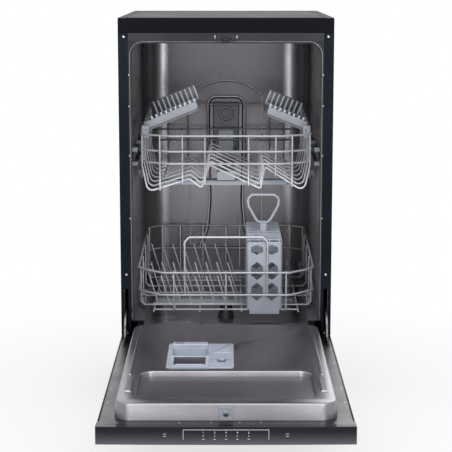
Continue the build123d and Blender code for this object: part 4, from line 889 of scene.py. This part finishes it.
for y, radius in dispenser["ribs"]:
    addTube(shape, [at(x, y, dispenser["ribZ"]) for x in dispenser["ribX"]], radius, 12)
makePiece(shape, "lidRibs", "plasticCool", "dispenser_lid")
shape = bmesh.new()
addBlock(shape, *dispenser["trough"], 0.2)
makePiece(shape, "lidTrough", "port", "dispenser_lid")
shape = bmesh.new()
addTube(shape, roundedPath(dispenser["lip"], dispenser["lipBend"]), dispenser["lipWire"], 8)
makePiece(shape, "latchLip", "port", "dispenser_latch")
print("dispenser details made")

# Vent: a bright drop in the light frame, a round foot with a pointed wedge above it
vent = {
    "y": -601.4, "z": 190.5, "foot": ((5.5, 0), (5.5, 1.4), (4.6, 2.2), (2.0, 2.5)),
    "wedge": ((-4.6, 0, 193.4), (4.6, 0, 193.4), (0, 0, 199.8),
              (-3.6, 1.9, 193.6), (3.6, 1.9, 193.6), (0, 1.2, 198.4)),
    "faces": ((0, 2, 1), (3, 4, 5), (0, 1, 4, 3), (1, 2, 5, 4), (2, 0, 3, 5)),
}
shape = bmesh.new()
addTurned(shape, at(0, vent["y"], vent["z"]), ahead, vent["foot"], 28)
tip = [shape.verts.new(at(x, vent["y"] - y, z)) for x, y, z in vent["wedge"]]
for corners in vent["faces"]:
    shape.faces.new([tip[i] for i in corners])
makePiece(shape, "ventDrop", "bare", "door_vent")

# Camera
bpy.context.scene.view_settings.view_transform = "Standard"
cameraPlace = {"place": (0.0, -2.93925, 0.941), "down": 10.05, "lens": 113.7, "sensor": 36.0,
               "farthest": 60.0}
cameraData = bpy.data.cameras.new("viewCamera")
cameraData.sensor_width = cameraPlace["sensor"]
cameraData.lens = cameraPlace["lens"]
cameraData.clip_end = cameraPlace["farthest"]
camera = bpy.data.objects.new("viewCamera", cameraData)
camera.location = cameraPlace["place"]
camera.rotation_euler = (math.radians(90 - cameraPlace["down"]), 0, 0)
bpy.context.scene.collection.objects.link(camera)
bpy.context.scene.camera = camera
print("camera set")

# Lamps: two tall ones in front, one above, one behind, and two small ones inside the tub
lamps = {
    "leftBox": {"place": (-1.05, -3.0, 1.25), "aim": (0, 0.2, 0.5), "size": (1.1, 2.3), "power": 36.0},
    "rightBox": {"place": (1.05, -3.0, 1.25), "aim": (0, 0.2, 0.5), "size": (1.1, 2.3), "power": 36.0},
    "topBox": {"place": (0.0, -0.9, 2.6), "aim": (0, -0.3, 0.2), "size": (2.2, 1.6), "power": 34.0},
    "rearBox": {"place": (0.4, 3.2, 1.9), "aim": (0, 0.2, 0.5), "size": (2.2, 1.6), "power": 26.0},
    "tubBox": {"place": (0.0, 0.02, 0.785), "aim": (0, 0.42, 0.35), "size": (0.34, 0.03), "power": 0.17},
    "midBox": {"place": (0.0, 0.03, 0.45), "aim": (0, 0.5, 0.40), "size": (0.36, 0.03), "power": 0.34},
}
for name, facts in lamps.items():
    lampData = bpy.data.lights.new(name, "AREA")
    lampData.shape = "RECTANGLE"
    lampData.size, lampData.size_y = facts["size"]
    lampData.energy = facts["power"]
    lamp = bpy.data.objects.new(name, lampData)
    lamp.location = facts["place"]
    aim = Vector(facts["aim"]) - lamp.location
    lamp.rotation_euler = aim.to_track_quat("-Z", "Y").to_euler()
    bpy.context.scene.collection.objects.link(lamp)

# World: white to the camera and in mirrors, dimmer as a light
studio = {"worldLevel": 0.36, "floorSize": 30.0, "floorShade": (0.86, 0.86, 0.86), "floorRoughness": 0.8,
          "floorNear": 0.40, "floorFar": 1.15, "floorLeast": 0.72}
world = bpy.data.worlds.new("studioWorld")
world.use_nodes = True
bpy.context.scene.world = world
tree = world.node_tree
background = tree.nodes["Background"]
background.inputs["Color"].default_value = (1, 1, 1, 1)
rays = tree.nodes.new("ShaderNodeLightPath")
seen = rays.outputs["Is Camera Ray"]
for rayName in ("Is Glossy Ray", "Is Transmission Ray"):
    either = tree.nodes.new("ShaderNodeMath")
    either.operation = "MAXIMUM"
    tree.links.new(seen, either.inputs[0])
    tree.links.new(rays.outputs[rayName], either.inputs[1])
    seen = either.outputs[0]
level = tree.nodes.new("ShaderNodeMapRange")
level.inputs["To Min"].default_value = studio["worldLevel"]
level.inputs["To Max"].default_value = 1.0
tree.links.new(seen, level.inputs["Value"])
tree.links.new(level.outputs[0], background.inputs["Strength"])

# Floor: keeps the shadow near the machine and fades to white further out
floorShape = bmesh.new()
bmesh.ops.create_grid(floorShape, x_segments=1, y_segments=1, size=studio["floorSize"] / 2)
floorMesh = bpy.data.meshes.new("studioFloor")
floorShape.to_mesh(floorMesh)
floorShape.free()
floor = bpy.data.objects.new("studioFloor", floorMesh)
bpy.context.scene.collection.objects.link(floor)
floorLook = Look("studioFloor", studio["floorShade"], studio["floorRoughness"])
flat = floorLook.add("ShaderNodeVectorMath", {"operation": "MULTIPLY"},
                     [floorLook.add("ShaderNodeTexCoord", output="Object"), (1, 1, 0)])
far = floorLook.add("ShaderNodeVectorMath", {"operation": "LENGTH"}, [flat], "Value")
fade = floorLook.span(far, studio["floorLeast"], 1.0, studio["floorNear"], studio["floorFar"])
watched = floorLook.add("ShaderNodeLightPath", output="Is Camera Ray")
for rayName in ("Is Glossy Ray", "Is Transmission Ray"):
    watched = watched.math("MAXIMUM", floorLook.add("ShaderNodeLightPath", output=rayName))
glow = floorLook.add("ShaderNodeEmission", values={"Color": (1, 1, 1), "Strength": 1.0})
skin = Value(floorLook, floorLook.shader.outputs[0])
mixed = floorLook.add("ShaderNodeMixShader", values=[fade * watched, skin, glow])
floorLook.tree.links.new(mixed.socket, floorLook.tree.nodes["Material Output"].inputs["Surface"])
floorMesh.materials.append(floorLook.material)
print("lamps, world and floor made")
